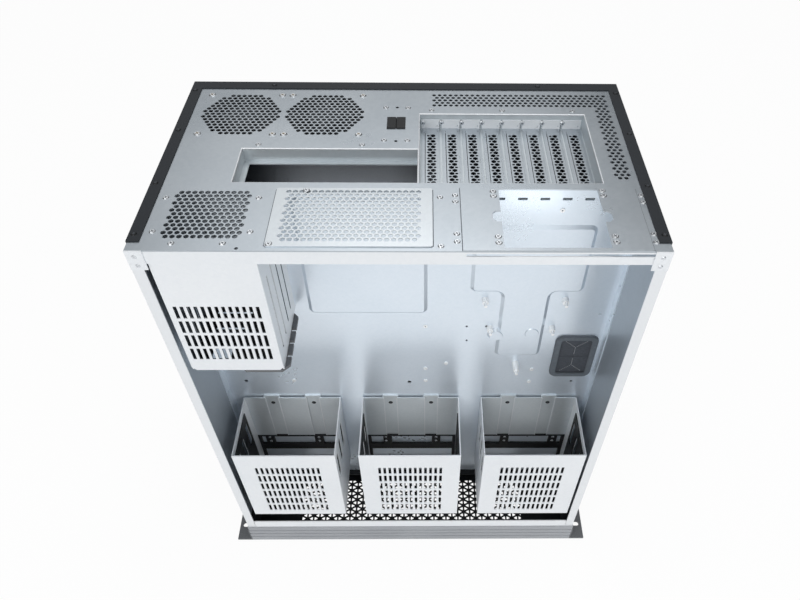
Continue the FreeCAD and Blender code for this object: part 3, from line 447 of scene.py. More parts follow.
def rolled_edge(piece, left, right, low, high, level):
    """A quarter-round edge that leads from the panel's face down into a sunk window, in the brighter zinc as a painted
    highlight.
    """
    steps = 4
    strip = bmesh.new()
    for step in range(steps + 1):
        angle = math.pi / 2 * step / steps
        out = ROLL * (1 - math.sin(angle))
        drop = ROLL * (1 - math.cos(angle))
        for vert in window(strip, left - out, right + out, low - out, high + out):
            vert.co.z = level - drop
    bmesh.ops.bridge_loops(strip, edges=strip.edges[:])
    bmesh.ops.recalc_face_normals(strip, faces=strip.faces[:])
    if sum(face.normal.z for face in strip.faces) < 0:
        bmesh.ops.reverse_faces(strip, faces=strip.faces[:])
    # The roll takes the panel's brighter zinc, a painted highlight along the edge.
    tint(strip, 1)
    merge_into(piece, strip)


print("rear panel face at", round(panel_face, 2), "mm")

# %% Rear panel sheet
panel = bmesh.new()
sheet = bmesh.new()
window(sheet, panel_low.x, panel_high.x, panel_low.y, panel_high.y)
for left, right, low, high in (CONNECTOR, SLOTS):
    window(sheet, left - ROLL, right + ROLL, low - ROLL, high + ROLL)
for left, right, low, high in (PLUG, SUPPLY_PLATE, SUPPLY_BRACKET):
    window(sheet, left, right, low, high)
for x, y in FANS:
    round_vent(sheet, x, y, FAN_VENT, 7)
for row in range(30):
    across = HEX_PITCH / 2 * (row % 2)
    y = COVER_VENT_HIGH - row * HEX_ROW
    if row < 5:
        hex_row(sheet, COVER_VENT_LEFT + across, y, 32 - row % 2, SMALL_HEX)
    else:
        count = 2 + (row + 1) % 2
        hex_row(sheet, COVER_VENT_RIGHT - (count - 1) * HEX_PITCH - across, y, count, SMALL_HEX)
for row in range(13):
    hex_row(sheet, SQUARE_VENT_LEFT - HEX_PITCH / 2 * (row % 2), SQUARE_VENT_HIGH - row * HEX_ROW, 11 + row % 2)
for x, y in PANEL_HOLES:
    ring(sheet, 10, PLAIN_HOLE, x, y)
lay_sheet(panel, sheet, PANEL_METAL, "up", panel_face - PANEL_METAL)
for edges in (CONNECTOR, SLOTS):
    rolled_edge(panel, *edges, panel_face)
lip = bmesh.new()
window(lip, LIP_LEFT, LIP_RIGHT, panel_low.z, panel_face - PANEL_METAL)
window(lip, *LIP_SLOT, 0.85, 8)
# The lip takes the brighter zinc, a painted highlight.
lay_sheet(panel, lip, PANEL_METAL, "near", panel_low.y, 1)
finish_piece(panel, "rear_panel_sheet", [galvanised, bright_zinc_and_highlight], ["rear_panel"])

# %% [markdown]
# ## Expansion slot covers
# Each cover is a narrow blade with its own perforation: one full hexagon and one half hexagon in every row, and the
# half one changes sides from row to row. Its far end bends up into the tab that the screw holds. Two thin slits beside
# the blade are the gap between the cover and the frame that it closes.

# %% Slot covers
COVER_METAL = 0.8
COVER_ROWS = 20
FIRST_ROW = 58.9
FULL_HEX, FULL_SHIFT = 2.75, 1.45
HALF_HEX, HALF_SHIFT = 1.6, 3.1
SLIT_SHIFT, SLIT_HALF = 6.2, 0.3
BLADE_SHIFT = 0.8
for number in range(1, 9):
    name = f"slot_cover_{number}"
    low, high = node_span(name)
    middle = (low.x + high.x) / 2 + BLADE_SHIFT
    cover = bmesh.new()
    blade = bmesh.new()
    window(blade, low.x, high.x, low.y, high.y - COVER_METAL)
    for row in range(COVER_ROWS):
        y = FIRST_ROW - row * HEX_ROW
        swap = -1 if row % 2 else 1
        ring(blade, 6, FULL_HEX, middle + FULL_SHIFT * swap, y)
        ring(blade, 6, HALF_HEX, middle - HALF_SHIFT * swap, y)
    for side in (-1, 1):
        edge = middle + SLIT_SHIFT * side
        window(blade, edge - SLIT_HALF, edge + SLIT_HALF, low.y + 3, high.y - 6)
    lay_sheet(cover, blade, COVER_METAL, "up", low.z)
    tab = bmesh.new()
    window(tab, low.x, high.x, low.z, high.z)
    ring(tab, 3, 1.5, high.x - 2.6, low.z + 3.2)
    # The tab takes the brighter zinc, a painted highlight on the bent-up end.
    lay_sheet(cover, tab, COVER_METAL, "near", high.y - COVER_METAL, 1)
    finish_piece(cover, f"{name}_sheet", [galvanised, bright_zinc_and_highlight], [name])

# %% [markdown]
# ## Power supply cover plate
# The left power supply opening is closed by a plate that is punched nearly all over with the same honeycomb.

# %% Power supply cover plate
PLATE_ROWS = 14
PLATE_VENT_LEFT, PLATE_VENT_HIGH = -98.5, -55.3
plate_low, plate_high = node_span("psu_cover_plate")
plate = bmesh.new()
sheet = bmesh.new()
window(sheet, plate_low.x, plate_high.x, plate_low.y, plate_high.y, 2.0)
for row in range(PLATE_ROWS):
    hex_row(sheet, PLATE_VENT_LEFT + HEX_PITCH / 2 * (row % 2), PLATE_VENT_HIGH - row * HEX_ROW, 21 - row % 2)
lay_sheet(plate, sheet, plate_high.z - plate_low.z, "up", plate_low.z)
finish_piece(plate, "supply_cover_sheet", [plate_zinc], ["psu_cover_plate"])

# %% [markdown]
# ## Mid plate with raised fields
# The mid plate is stiffened by two raised fields, a T and a rectangle, pressed into it with sloping walls. Each field
# starts as a face with a few corners, a vertex bevel rounds them, and an inset with depth presses the field out. The
# same outline is a hole in the flat sheet, so both meet along one line. Two round seats beside the T are low cones, and
# plain round holes, five card slots and the cable pass are cut through the flat sheet.

# %% Mid plate sizes
CARD_PITCH = 20.32
FIELD_CORNER = 7.0
PRESS = 2.5
SLOPE = 3.5
SEAT_RISE, SEAT_FOOT, SEAT_TOP = 3.4, 9.5, 7.0
SEATS = ((97.7, 332.0), (137.0, 336.0))
tray_low, tray_high = node_span("mid_plate")
tray_face = tray_high.y - PANEL_METAL
TEE = (
    (99.0, 296.0),
    (150.0, 296.0),
    (150.0, 398.0),
    (183.0, 398.0),
    (183.0, 485.0),
    (66.0, 485.0),
    (66.0, 398.0),
    (99.0, 398.0),
)
FIELD = ((-103.0, 366.0), (22.0, 366.0), (22.0, 515.8), (-103.0, 515.8))
CABLE_HOLE = (169.5, 211.0, 262.5, 326.5)
FIRST_CARD_SLOT = 87.5
FLANGE_HOLES = [236.0 + step * 44.0 for step in range(7)]
TRAY_HOLES = (
    (65.0, 344.4, 1.4),
    (86.8, 344.4, 1.6),
    (66.0, 321.2, 1.4),
    (0.5, 245.3, 2.4),
    (195.7, 246.6, 1.8),
    (-195.1, 247.3, 2.4),
)
NUT_HOLE, NUT_RIM, NUT_RISE = 0.9, 2.3, 0.9
NUTS = (
    (145.6, 502.2),
    (19.9, 345.0),
    (19.9, 271.7),
    (19.9, 248.6),
    (145.1, 269.9),
    (144.7, 246.6),
    (43.8, 281.3),
    (-137.6, 248.8),
)


def pressed_face(bm, corners):
    """A flat face with rounded corners, looking up."""
    face = bm.faces.new([bm.verts.new((x, y, 0)) for x, y in corners])
    bmesh.ops.bevel(
        bm, geom=face.verts[:], offset=FIELD_CORNER, segments=5, profile=0.5, affect="VERTICES", material=-1
    )
    bm.normal_update()
    if bm.faces[:][0].normal.z < 0:
        bmesh.ops.reverse_faces(bm, faces=bm.faces[:])
    return bm.faces[:]


print("mid plate face at", round(tray_face, 2), "mm")

# %% Mid plate sheet
tray = bmesh.new()
sheet = bmesh.new()
for corners in (TEE, FIELD):
    outline = bmesh.new()
    faces = pressed_face(outline, corners)
    bmesh.ops.delete(outline, geom=faces, context="FACES_ONLY")
    merge_into(sheet, outline)
    field = bmesh.new()
    faces = pressed_face(field, corners)
    bmesh.ops.inset_region(field, faces=faces, thickness=SLOPE, depth=-PRESS, use_boundary=True)
    thicken(field, PANEL_METAL)
    bmesh.ops.transform(field, matrix=LAY["near"](tray_face), verts=field.verts[:])
    bmesh.ops.recalc_face_normals(field, faces=field.faces[:])
    merge_into(tray, field)
for x, z in SEATS:
    seat = Matrix.Translation((x, tray_face - SEAT_RISE / 2, z)) @ TO_NEAR
    bmesh.ops.create_cone(
        tray, cap_ends=True, segments=24, radius1=SEAT_FOOT, radius2=SEAT_TOP, depth=SEAT_RISE, matrix=seat
    )
window(sheet, tray_low.x, tray_high.x, tray_low.z, tray_high.z)
window(sheet, *CABLE_HOLE, 3.0)
for step in range(5):
    slot_x = FIRST_CARD_SLOT + step * CARD_PITCH
    window(sheet, slot_x - 4.5, slot_x + 4.5, 513.0, 516.0, 1.0, 8)
for x, z, radius in TRAY_HOLES:
    ring(sheet, 12, radius, x, z)
for x, z in NUTS:
    ring(sheet, 12, NUT_HOLE, x, z)
lay_sheet(tray, sheet, PANEL_METAL, "near", tray_face)
for left in (tray_low.x, tray_high.x - PANEL_METAL):
    flange = bmesh.new()
    window(flange, tray_low.y, tray_face, tray_low.z, tray_high.z)
    for z in FLANGE_HOLES:
        ring(flange, 10, PLAIN_HOLE, tray_low.y + 5.0, z)
    lay_sheet(tray, flange, PANEL_METAL, "side", left)
finish_piece(tray, "mid_plate_sheet", [pale_zinc], ["mid_plate"])

# %% [markdown]
# ## Cable grommet and pegs
# The grommet is a moulded rubber frame with two thin flaps. Its rim is a set of rings joined by the bridge operator,
# which gives the rounded lip of a moulding, and rows of small raised beads in a lighter grey mark the stitched slits
# over the flaps; their grey is a painted highlight. The pegs are turned in two steps: a wide seat on the plate and a
# thin tip. Some of the plate's small holes carry pressed-in nuts, which show as bright collars.

# %% Cable grommet
GROMMET = (166.0, 214.5, 259.0, 330.0)
FLAP = (172.0, 208.5, 265.0, 324.0)
FLAP_SPLIT = (173.0, 207.5, 293.6, 294.6)
STITCH_STEP = 2.2
grommet = bmesh.new()
rim = bmesh.new()
PROFILE = ((0.0, 0.0), (0.0, 2.0), (0.6, 2.8), (1.6, 3.0), (5.4, 3.0), (6.4, 2.8), (7.0, 2.0), (7.0, -0.6))
for inward, rise in PROFILE:
    left, right, low, high = GROMMET
    verts = window(rim, left + inward, right - inward, low + inward, high - inward, 9.0 - inward * 0.8, 24)
    for vert in verts:
        vert.co.z = -rise
bmesh.ops.bridge_loops(rim, edges=rim.edges[:])
bmesh.ops.transform(rim, matrix=LAY["near"](tray_face), verts=rim.verts[:])
bmesh.ops.recalc_face_normals(rim, faces=rim.faces[:])
merge_into(grommet, rim)
flap = bmesh.new()
window(flap, *FLAP, 3.0)
lay_sheet(grommet, flap, 1.0, "near", tray_face - 0.6, 1)
split = bmesh.new()
window(split, *FLAP_SPLIT)
lay_sheet(grommet, split, 0.6, "near", tray_face - 1.0, 1)
CENTRE_X = 190.25
STITCHES = []
for middle, turn in ((310.0, 1), (279.0, -1)):
    STITCHES.append((CENTRE_X, middle, CENTRE_X, middle - 13.0 * turn))
    STITCHES.append((CENTRE_X, middle, CENTRE_X - 13.0, middle + 11.0 * turn))
    STITCHES.append((CENTRE_X, middle, CENTRE_X + 13.0, middle + 11.0 * turn))
painted_highlight_beads = bmesh.new()
for x0, z0, x1, z1 in STITCHES:
    length = math.hypot(x1 - x0, z1 - z0)
    for step in range(int(length / STITCH_STEP) + 1):
        share = step * STITCH_STEP / length
        ring(painted_highlight_beads, 6, 0.5, x0 + (x1 - x0) * share, z0 + (z1 - z0) * share)
# The beads take the grey coat, a painted highlight on the stitching.
lay_sheet(grommet, painted_highlight_beads, 0.3, "near", tray_face - 0.9, 2)
finish_piece(grommet, "cable_grommet_moulding", [rim_rubber, rubber, grey_coat], ["cable_grommet"])

# %% Pegs
PEGS = ((82.5, 386.5, 6.0), (166.5, 386.5, 6.0), (90.5, 342.8, 6.0), (158.5, 342.8, 6.0), (124.5, 282.3, 13.0))
TIP_LENGTH = 5.0
pegs = bmesh.new()
for x, z, length in PEGS:
    foot = Matrix.Translation((x, tray_face, z)) @ TO_NEAR
    seat = foot @ Matrix.Translation((0, 0, length / 2))
    tip = foot @ Matrix.Translation((0, 0, length + TIP_LENGTH / 2))
    bmesh.ops.create_cone(pegs, cap_ends=True, segments=20, radius1=3.7, radius2=3.2, depth=length, matrix=seat)
    bmesh.ops.create_cone(pegs, cap_ends=True, segments=16, radius1=2.1, radius2=1.7, depth=TIP_LENGTH, matrix=tip)
for x, z in NUTS:
    collar = bmesh.new()
    ring(collar, 16, NUT_RIM, x, z)
    ring(collar, 16, NUT_HOLE, x, z)
    lay_sheet(pegs, collar, NUT_RISE, "near", tray_face - NUT_RISE)
finish_piece(pegs, "mid_plate_pegs", [bright_peg], ["plate_standoffs"])

# %% [markdown]
# ## Drive cages
# The cages are folded boxes. Their near faces are punched with rows of slots that let air through, their side walls
# have openings for drive rails, and two ribs at the back of each front cage hook onto the mid plate. Each wall is cut
# as its own sheet and laid into the box. The back walls and ribs of the front cages take a darker tone of the plate,
# and the inside of the rear cage a darker one still, both painted shade. Where the back wall bends towards a rib, the
# bend catches the light as a bright line, so a thin strip of the brighter zinc follows it as a painted highlight.
# Black moulded rails line the side walls, and a black tray closes the rear cage at its lower end. Both are seen only
# through the openings, so they are plain punched sheets.

# %% Slot rows of the cages
CAGE_COLUMNS = 13
CAGE_SLOT = 3.3


def slot_rows(sheet, x, first_row, rows, row_step, column_step, length):
    for row in range(rows):
        for column in range(CAGE_COLUMNS):
            across = (column - CAGE_COLUMNS // 2) * column_step
            slot(sheet, x + across, first_row + row * row_step, CAGE_SLOT, length)


print("slots in a row of a cage:", CAGE_COLUMNS)

# %% Rear drive cage
CORNER_CUT = 4.0
SIDE_SLITS = (16.0, 33.0, 50.0, 67.0)
TRAY_SLITS = ((-196.0, -160.0, -56.5, -53.5), (-193.0, -152.0, -78.5, -75.5), (-190.0, -171.0, -118.0, -104.0))
cage_low, cage_high = node_span("rear_drive_cage")
rear_cage = bmesh.new()
face = bmesh.new()
left, right = cage_low.x, cage_high.x
bottom, top = cage_low.z, cage_high.z
corners = (
    (left + CORNER_CUT, bottom),
    (right - CORNER_CUT, bottom),
    (right, bottom + CORNER_CUT),
    (right, top),
    (left, top),
    (left, bottom + CORNER_CUT),
)
outline = face.faces.new([face.verts.new((x, z, 0)) for x, z in corners])
bmesh.ops.delete(face, geom=[outline], context="FACES_ONLY")
slot_rows(face, -162.7, 456.2, 4, -18.7, 6.0, 15.4)
lay_sheet(rear_cage, face, PANEL_METAL, "near", cage_low.y)
for level in (left, right - PANEL_METAL):
    wall = bmesh.new()
    window(wall, cage_low.y + PANEL_METAL, cage_high.y, bottom, top)
    for inward in SIDE_SLITS:
        near = cage_low.y + inward
        window(wall, near - 1.6, near + 1.6, 392.0, 486.0, 1.5, 8)
        ring(wall, 10, 1.7, near + 8.0, 503.0)
    lay_sheet(rear_cage, wall, PANEL_METAL, "side", level)
# The inside faces take the darker zinc, painted shade.
shade_inside(rear_cage, (cage_low + cage_high) / 2, 1)
finish_piece(rear_cage, "rear_cage_folded", [bright_zinc_and_highlight, inside_shade_zinc], ["rear_drive_cage"])

# %% Rear drive tray
drive_tray = bmesh.new()
base = bmesh.new()
window(base, left + 1.4, right - 1.4, cage_low.y + 1.4, cage_high.y - 1.0)
for slit in TRAY_SLITS:
    window(base, *slit)
lay_sheet(drive_tray, base, 1.0, "up", bottom + 0.6)
finish_piece(drive_tray, "rear_drive_tray", [black_plastic])

# %% Front drive cages
CAGE_EDGE = 3.0
RIB_DEPTH = 2.0
RIB_REACH, RIB_HALF = 25.2, 10
CHANNEL_HALF = 8.0
STOP_HEIGHT = 62.0
RAIL_METAL = 1.0
RAIL_WINDOWS = (14.3, 36.3, 58.3)
RIB_HOLES = []
for hand in ("left", "centre", "right"):
    name = f"front_cage_{hand}"
    low, high = node_span(name)
    middle = (low.x + high.x) / 2
    top = high.z - CAGE_EDGE
    back = high.y - RIB_DEPTH
    cage = bmesh.new()
    face = bmesh.new()
    window(face, low.x, high.x, low.z, top)
    slot_rows(face, middle, low.z + 18.2, 6, 18.3, 6.08, 15.0)
    lay_sheet(cage, face, PANEL_METAL, "near", low.y)
    for level in (low.x, high.x - PANEL_METAL):
        wall = bmesh.new()
        window(wall, low.y + PANEL_METAL, back, low.z, top)
        for inward in RAIL_WINDOWS:
            near = low.y + inward
            window(wall, near - 6, near + 6, top - 66.0, top - 18.0, 2.0, 8)
        lay_sheet(cage, wall, PANEL_METAL, "side", level)
    far_low = low.z + STOP_HEIGHT
    outer, inner = RIB_REACH + CHANNEL_HALF, RIB_REACH - CHANNEL_HALF
    ends = (low.x + PANEL_METAL, middle - outer, middle - inner, middle + inner, middle + outer, high.x - PANEL_METAL)
    # The back wall's strips here and the ribs below take the darker zinc, painted shade.
    for start, end in zip(ends[0::2], ends[1::2]):
        strip = bmesh.new()
        window(strip, start, end, far_low, top)
        lay_sheet(cage, strip, PANEL_METAL, "near", back - PANEL_METAL, 1)
    # A strip of the brighter zinc along each bend is a painted highlight.
    for x in ends[1:-1]:
        painted_bend_highlight = bmesh.new()
        window(painted_bend_highlight, x - 0.5, x + 0.5, far_low, top)
        lay_sheet(cage, painted_bend_highlight, 0.4, "near", back - PANEL_METAL - 0.4)
    for side in (-1, 1):
        rib = bmesh.new()
        x = middle + RIB_REACH * side
        window(rib, x - RIB_HALF, x + RIB_HALF, far_low, high.z, 1.5, 8)
        lay_sheet(cage, rib, RIB_DEPTH, "near", back, 1)
        RIB_HOLES.append((x, back, high.z - 14))
    finish_piece(cage, f"{name}_folded", [bright_zinc_and_highlight, shaded_far_zinc], [name])
    rails = bmesh.new()
    for level in (low.x + PANEL_METAL + 0.1, high.x - PANEL_METAL - RAIL_METAL - 0.1):
        rail = bmesh.new()
        window(rail, low.y + 6, back - 18, low.z + 2, top - 8, 1.0, 8)
        for inward in RAIL_WINDOWS:
            near = low.y + inward
            window(rail, near - 5, near + 5, top - 62.0, top - 22.0, 2.0, 8)
        lay_sheet(rails, rail, RAIL_METAL, "side", level)
    finish_piece(rails, f"drive_rails_{hand}", [black_plastic])

# %% [markdown]
# ## Front mesh
# The front sheet is punched with rounded triangles that leave a net of thin bars meeting six at a time. One pair of
# triangles is inset, its corners are rounded by a vertex bevel and the middles are taken out. Copies of that pair fill
# a column, copies of the column fill the field, and a plane cut trims the field to its window.

# %% Front mesh
MESH_SIDE = 9.8
MESH_COLUMN = MESH_SIDE * math.sqrt(3) / 2
MESH_BAR = 2.2
mesh_low, mesh_high = node_span("front_mesh")
MESH_FIELDS = ((-155.0, 155.0, -121.0, -46.0), (-155.0, 155.0, -27.0, 119.0))


def net_pair():
    """Two neighbouring triangles of the net with their rounded holes."""
    pair = bmesh.new()
    radius = MESH_SIDE / math.sqrt(3)
    middles = ((MESH_COLUMN / 3, 0.0, -math.pi / 2), (MESH_COLUMN * 2 / 3, MESH_SIDE / 2, math.pi / 2))
    for x, y, turn in middles:
        place = Matrix.Translation((x, y, 0)) @ Matrix.Rotation(turn, 4, "Z")
        bmesh.ops.create_circle(pair, cap_ends=True, segments=3, radius=radius, matrix=place)
    faces = pair.faces[:]
    bmesh.ops.inset_individual(pair, faces=faces, thickness=MESH_BAR / 2, use_even_offset=True)
    corners = [vert for face in faces for vert in face.verts]
    bmesh.ops.bevel(pair, geom=corners, offset=1.3, segments=2, profile=0.5, affect="VERTICES", material=-1)
    holes = [
        face
        for face in pair.faces
        if any((face.calc_center_median() - Vector((x, y, 0))).length < 0.4 for x, y, turn in middles)
    ]
    bmesh.ops.delete(pair, geom=holes, context="FACES_ONLY")
    return pair


def repeat(bm, copies, step):
    """Copies of all that is in a bmesh, each one a step further."""
    first = bm.verts[:] + bm.edges[:] + bm.faces[:]
    for count in range(1, copies):
        made = bmesh.ops.duplicate(bm, geom=first)
        verts = [item for item in made["geom"] if isinstance(item, bmesh.types.BMVert)]
        bmesh.ops.translate(bm, verts=verts, vec=Vector(step) * count)


print("net triangles of", MESH_SIDE, "mm in columns", round(MESH_COLUMN, 2), "mm wide")

# %% Front net
net = bmesh.new()
border = bmesh.new()
window(border, mesh_low.x, mesh_high.x, mesh_low.y, mesh_high.y)
for left, right, low, high in MESH_FIELDS:
    window(border, left, right, low, high)
    field = net_pair()
    repeat(field, int((high - low) / MESH_SIDE) + 3, (0, MESH_SIDE, 0))
    second = field.copy()
    bmesh.ops.translate(second, verts=second.verts[:], vec=(MESH_COLUMN, MESH_SIDE / 2, 0))
    merge_into(field, second)
    repeat(field, int((right - left) / MESH_COLUMN / 2) + 2, (MESH_COLUMN * 2, 0, 0))
    bmesh.ops.translate(field, verts=field.verts[:], vec=(left - MESH_COLUMN, low - MESH_SIDE, 0))
    bmesh.ops.remove_doubles(field, verts=field.verts[:], dist=0.02)
    for point, normal in (
        ((left, 0, 0), (-1, 0, 0)),
        ((right, 0, 0), (1, 0, 0)),
        ((0, low, 0), (0, -1, 0)),
        ((0, high, 0), (0, 1, 0)),
    ):
        parts = field.verts[:] + field.edges[:] + field.faces[:]
        bmesh.ops.bisect_plane(field, geom=parts, plane_co=point, plane_no=normal, clear_outer=True)
    thicken(field, mesh_high.z - mesh_low.z)
    bmesh.ops.transform(field, matrix=LAY["up"](mesh_low.z), verts=field.verts[:])
    bmesh.ops.recalc_face_normals(field, faces=field.faces[:])
    merge_into(net, field)
lay_sheet(net, border, mesh_high.z - mesh_low.z, "up", mesh_low.z)
finish_piece(net, "front_net", [black_coat], ["front_mesh"])

# %% [markdown]
# ## Screws and rivets
# Pan-head screws hold every plate. Each head is a low cone with a crossed recess, and the recess mostly takes a darker
# steel, painted shade. The heads sit on the face that carries them, so each list below gives places on one face. The
# drive stops have small screws of their own, dark discs on the cages' ribs are painted shade where their holes are,
# and rivets hold the corner gussets.

# %% Screw heads
HEAD_TAPER = 0.7
CROSS_WIDTH, CROSS_RISE, CROSS_TURN = 0.22, 0.12, 0.5


def screw(bm, place, radius, height):
    head = place @ Matrix.Translation((0, 0, height / 2))
    bmesh.ops.create_cone(
        bm, cap_ends=True, segments=14, radius1=radius, radius2=radius * HEAD_TAPER, depth=height, matrix=head
    )
    # The cross takes the piece's second material, for most screws a darker steel painted as the recess's shade.
    for turn in (0, math.pi / 2):
        size = Matrix.Diagonal((radius, radius * CROSS_WIDTH, height * CROSS_RISE, 1))
        cross = place @ Matrix.Translation((0, 0, height)) @ Matrix.Rotation(turn + CROSS_TURN, 4, "Z") @ size
        made = bmesh.ops.create_cube(bm, size=1.0, matrix=cross)
        for vert in made["verts"]:
            for near_face in vert.link_faces:
                near_face.material_index = 1


def screws(name, places, radius, height, materials, turn=Matrix.Identity(4)):
    bm = bmesh.new()
    for place in places:
        screw(bm, Matrix.Translation(place) @ turn, radius, height)
    return finish_piece(bm, name, materials)


FAN_REACH = 35.75
FAN_CORNERS = [(dx, dy) for dx in (-FAN_REACH, FAN_REACH) for dy in (-FAN_REACH, FAN_REACH)]
fan_screws = [(x + dx, y + dy, panel_face) for x, y in FANS for dx, dy in FAN_CORNERS]
screws("fan_screws", fan_screws, 3.6, 0.9, [nickel, brass])
PANEL_SCREWS = (
    (-136.7, 18.4),
    (-39.6, 18.4),
    (26.2, 80.4),
    (96.7, 80.1),
    (167.5, 79.7),
    (-19.6, 84.8),
    (2.5, 84.5),
    (-19.4, 26.4),
    (2.8, 26.3),
    (-203.1, -63.0),
    (-203.1, -108.0),
    (-123.5, -63.0),
    (-123.5, -108.0),
    (-184.4, -122.6),
    (-143.2, -122.5),
    (32.6, -61.3),
    (32.6, -125.3),
    (45.8, -58.4),
    (45.8, -67.3),
    (45.8, -109.9),
    (45.8, -119.7),
    (208.4, -57.7),
    (208.4, -67.2),
    (208.4, -109.6),
    (208.4, -119.7),
)
screws("panel_screws", [(x, y, panel_face) for x, y in PANEL_SCREWS], 2.8, 0.7, [nickel, painted_shade_steel])

# %% Screws of the plates and the cover
PLATE_SCREWS = (
    (-83.7, -53.0),
    (-106.0, -124.2),
    (79.0, -54.0),
    (79.0, -60.5),
    (175.0, -52.5),
    (175.0, -59.5),
    (79.5, -114.5),
    (79.5, -122.0),
    (175.5, -113.5),
    (175.5, -121.0),
)
plate_top = plate_high.z
screws("plate_screws", [(x, y, plate_top) for x, y in PLATE_SCREWS], 3.0, 0.6, [nickel, painted_shade_steel])
COVER_SCREWS = (
    (-216.5, 115.0),
    (-216.5, 40.6),
    (-216.5, -43.7),
    (-216.5, -112.4),
    (216.5, 113.0),
    (216.5, 37.6),
    (216.5, -45.3),
    (216.5, -111.8),
    (-137.0, 125.8),
    (137.0, 125.8),
)
COVER_TOP = 530.0
cover_screws = [(x, y, COVER_TOP) for x, y in COVER_SCREWS]
screws("cover_screws", cover_screws, 2.6, 0.8, [black_oxide, painted_shade_steel])

# %% Screws and rivets that face the open side
tab_screws = [(max(17.2, 15.5 + CARD_PITCH * step), 72.5, 519.6) for step in range(8)]
screws("slot_tab_screws", tab_screws, 2.6, 0.8, [nickel, painted_shade_steel], TO_NEAR)
STOP_BARS = (-187.3, -122.3, -33.1, 34.0, 125.5, 190.4)
stop_face = node_span("drive_stop_left")[0].y
stop_screws = [(x, stop_face, z) for x in STOP_BARS for z in (128.8, 120.0)]
screws("drive_stop_screws", stop_screws, 1.9, 0.5, [nickel, painted_shade_steel], TO_NEAR)
# Dark discs on the ribs are painted shade where their holes are.
screws("rib_hole_shade_discs", RIB_HOLES, 2.7, 0.3, [black_oxide, painted_shade_steel], TO_NEAR)
gusset_face = node_span("corner_gusset_left")[0].y
rivets = [(x * side, gusset_face, z) for side in (-1, 1) for x, z in ((213.0, 523.0), (213.0, 513.5))]
screws("gusset_rivets", rivets, 2.0, 0.8, [nickel, nickel], TO_NEAR)

# %% [markdown]
# ## Shadow gaps
# Where one sheet lies on or beside another, the eye reads a thin dark line. The gaps on the real case are a few tenths
# of a millimetre, so thin dark strips, painted shadow, lie along the edges of the plates and between the slot tabs.

# %% Shadow gaps
GAP_EDGES = (
    (-110.3, -109.6, -126.0, -51.0),
    (26.1, 26.8, -126.0, -51.0),
    (49.6, 50.2, -131.0, -48.5),
    (204.5, 205.1, -131.0, -48.5),
    (50.0, 83.0, -47.9, -47.4),
    (171.5, 204.5, -47.9, -47.4),
)
gaps = bmesh.new()
for left, right, low, high in GAP_EDGES:
    line = bmesh.new()
    window(line, left, right, low, high)
    lay_sheet(gaps, line, 0.1, "up", panel_face)
for number in range(1, 8):
    low, high = node_span(f"slot_cover_{number}")
    line = bmesh.new()
    window(line, high.x - 0.3, high.x + 0.3, 514.0, 520.0)
    lay_sheet(gaps, line, 0.1, "near", high.y - 0.95)
finish_piece(gaps, "shadow_gaps", [painted_shade_steel])

# %% [markdown]
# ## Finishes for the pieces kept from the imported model
# The remaining pieces already have their real shape, so they only get a finish.

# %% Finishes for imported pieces
FINISHES = {
    "top_cover": charcoal_coat,
    "left_side_wall": wall_zinc,
    "right_side_wall": wall_zinc,
    "recess_frame": recess_zinc,
    "psu_bracket": galvanised,
    "corner_gusset_left": bright_zinc_and_highlight,
    "corner_gusset_right": bright_zinc_and_highlight,
    "plug_left": black_plastic,
    "plug_right": black_plastic,
    "fan_frame_left": black_plastic,
    "fan_frame_right": black_plastic,
    "fan_rotor_left": fan_plastic,
    "fan_rotor_right": fan_plastic,
    # The end plate's black paint is drawn dark grey, a painted sheen.
    "cage_end_plate": ear_coat,
    "drive_stop_left": black_coat,
    "drive_stop_centre": black_coat,
    "drive_stop_right": black_coat,
    "front_frame": frame_coat,
    "front_bezel": grey_coat,
    "rack_ear_left": ear_coat,
    "rack_ear_right": ear_coat,
}
for name, material in FINISHES.items():
    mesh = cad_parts[name].data
    mesh.materials.clear()
    mesh.materials.append(material)
print("finished packed pieces:", len(FINISHES))

# %% [markdown]
# ## Floor and light
# A product photo on white needs a floor that is white to the camera yet still takes a soft shadow. The floor's
# material adds an even white glow for what the camera and the reflections see. The room is lit by a pale world and
# four large lamps, so the colours come out about as they are written, and two small lamps lift the closed board bay
# and the power supply's window. Satin metal shows the room more than its own colour, so for reflections the world has
# a softbox: bright at middle height behind the case, and dimmer to the sides and straight above.

# %% Floor
floor_mesh = bmesh.new()
bmesh.ops.create_grid(floor_mesh, x_segments=1, y_segments=1, size=6.0)
floor_data = bpy.data.meshes.new("studio_floor")
floor_mesh.to_mesh(floor_data)
floor_mesh.free()
floor = bpy.data.objects.new("studio_floor", floor_data)
bpy.context.scene.collection.objects.link(floor)


def seen_directly(tree, share):
    """The share of a glow that the camera and the reflections see."""
    path = add_node(tree, "ShaderNodeLightPath")
    seen = compute(tree, "MAXIMUM", path.outputs["Is Camera Ray"], path.outputs["Is Glossy Ray"])
    seen = compute(tree, "MAXIMUM", seen, path.outputs["Is Transmission Ray"])
    return compute(tree, "MULTIPLY", seen, share)


floor_paint, tree = new_material("white_floor_paper")
paper = add_node(tree, "ShaderNodeBsdfDiffuse", {"Color": linear("#f4f5f6")})
glow = add_node(tree, "ShaderNodeEmission", {"Color": [1, 1, 1, 1], "Strength": 1.0})
mix = add_node(
    tree, "ShaderNodeMixShader", {0: seen_directly(tree, 0.94), 1: paper.outputs["BSDF"], 2: glow.outputs["Emission"]}
)
add_node(tree, "ShaderNodeOutputMaterial", {"Surface": mix.outputs["Shader"]})
floor_data.materials.append(floor_paint)
print("floor of", floor.dimensions.x, "m")

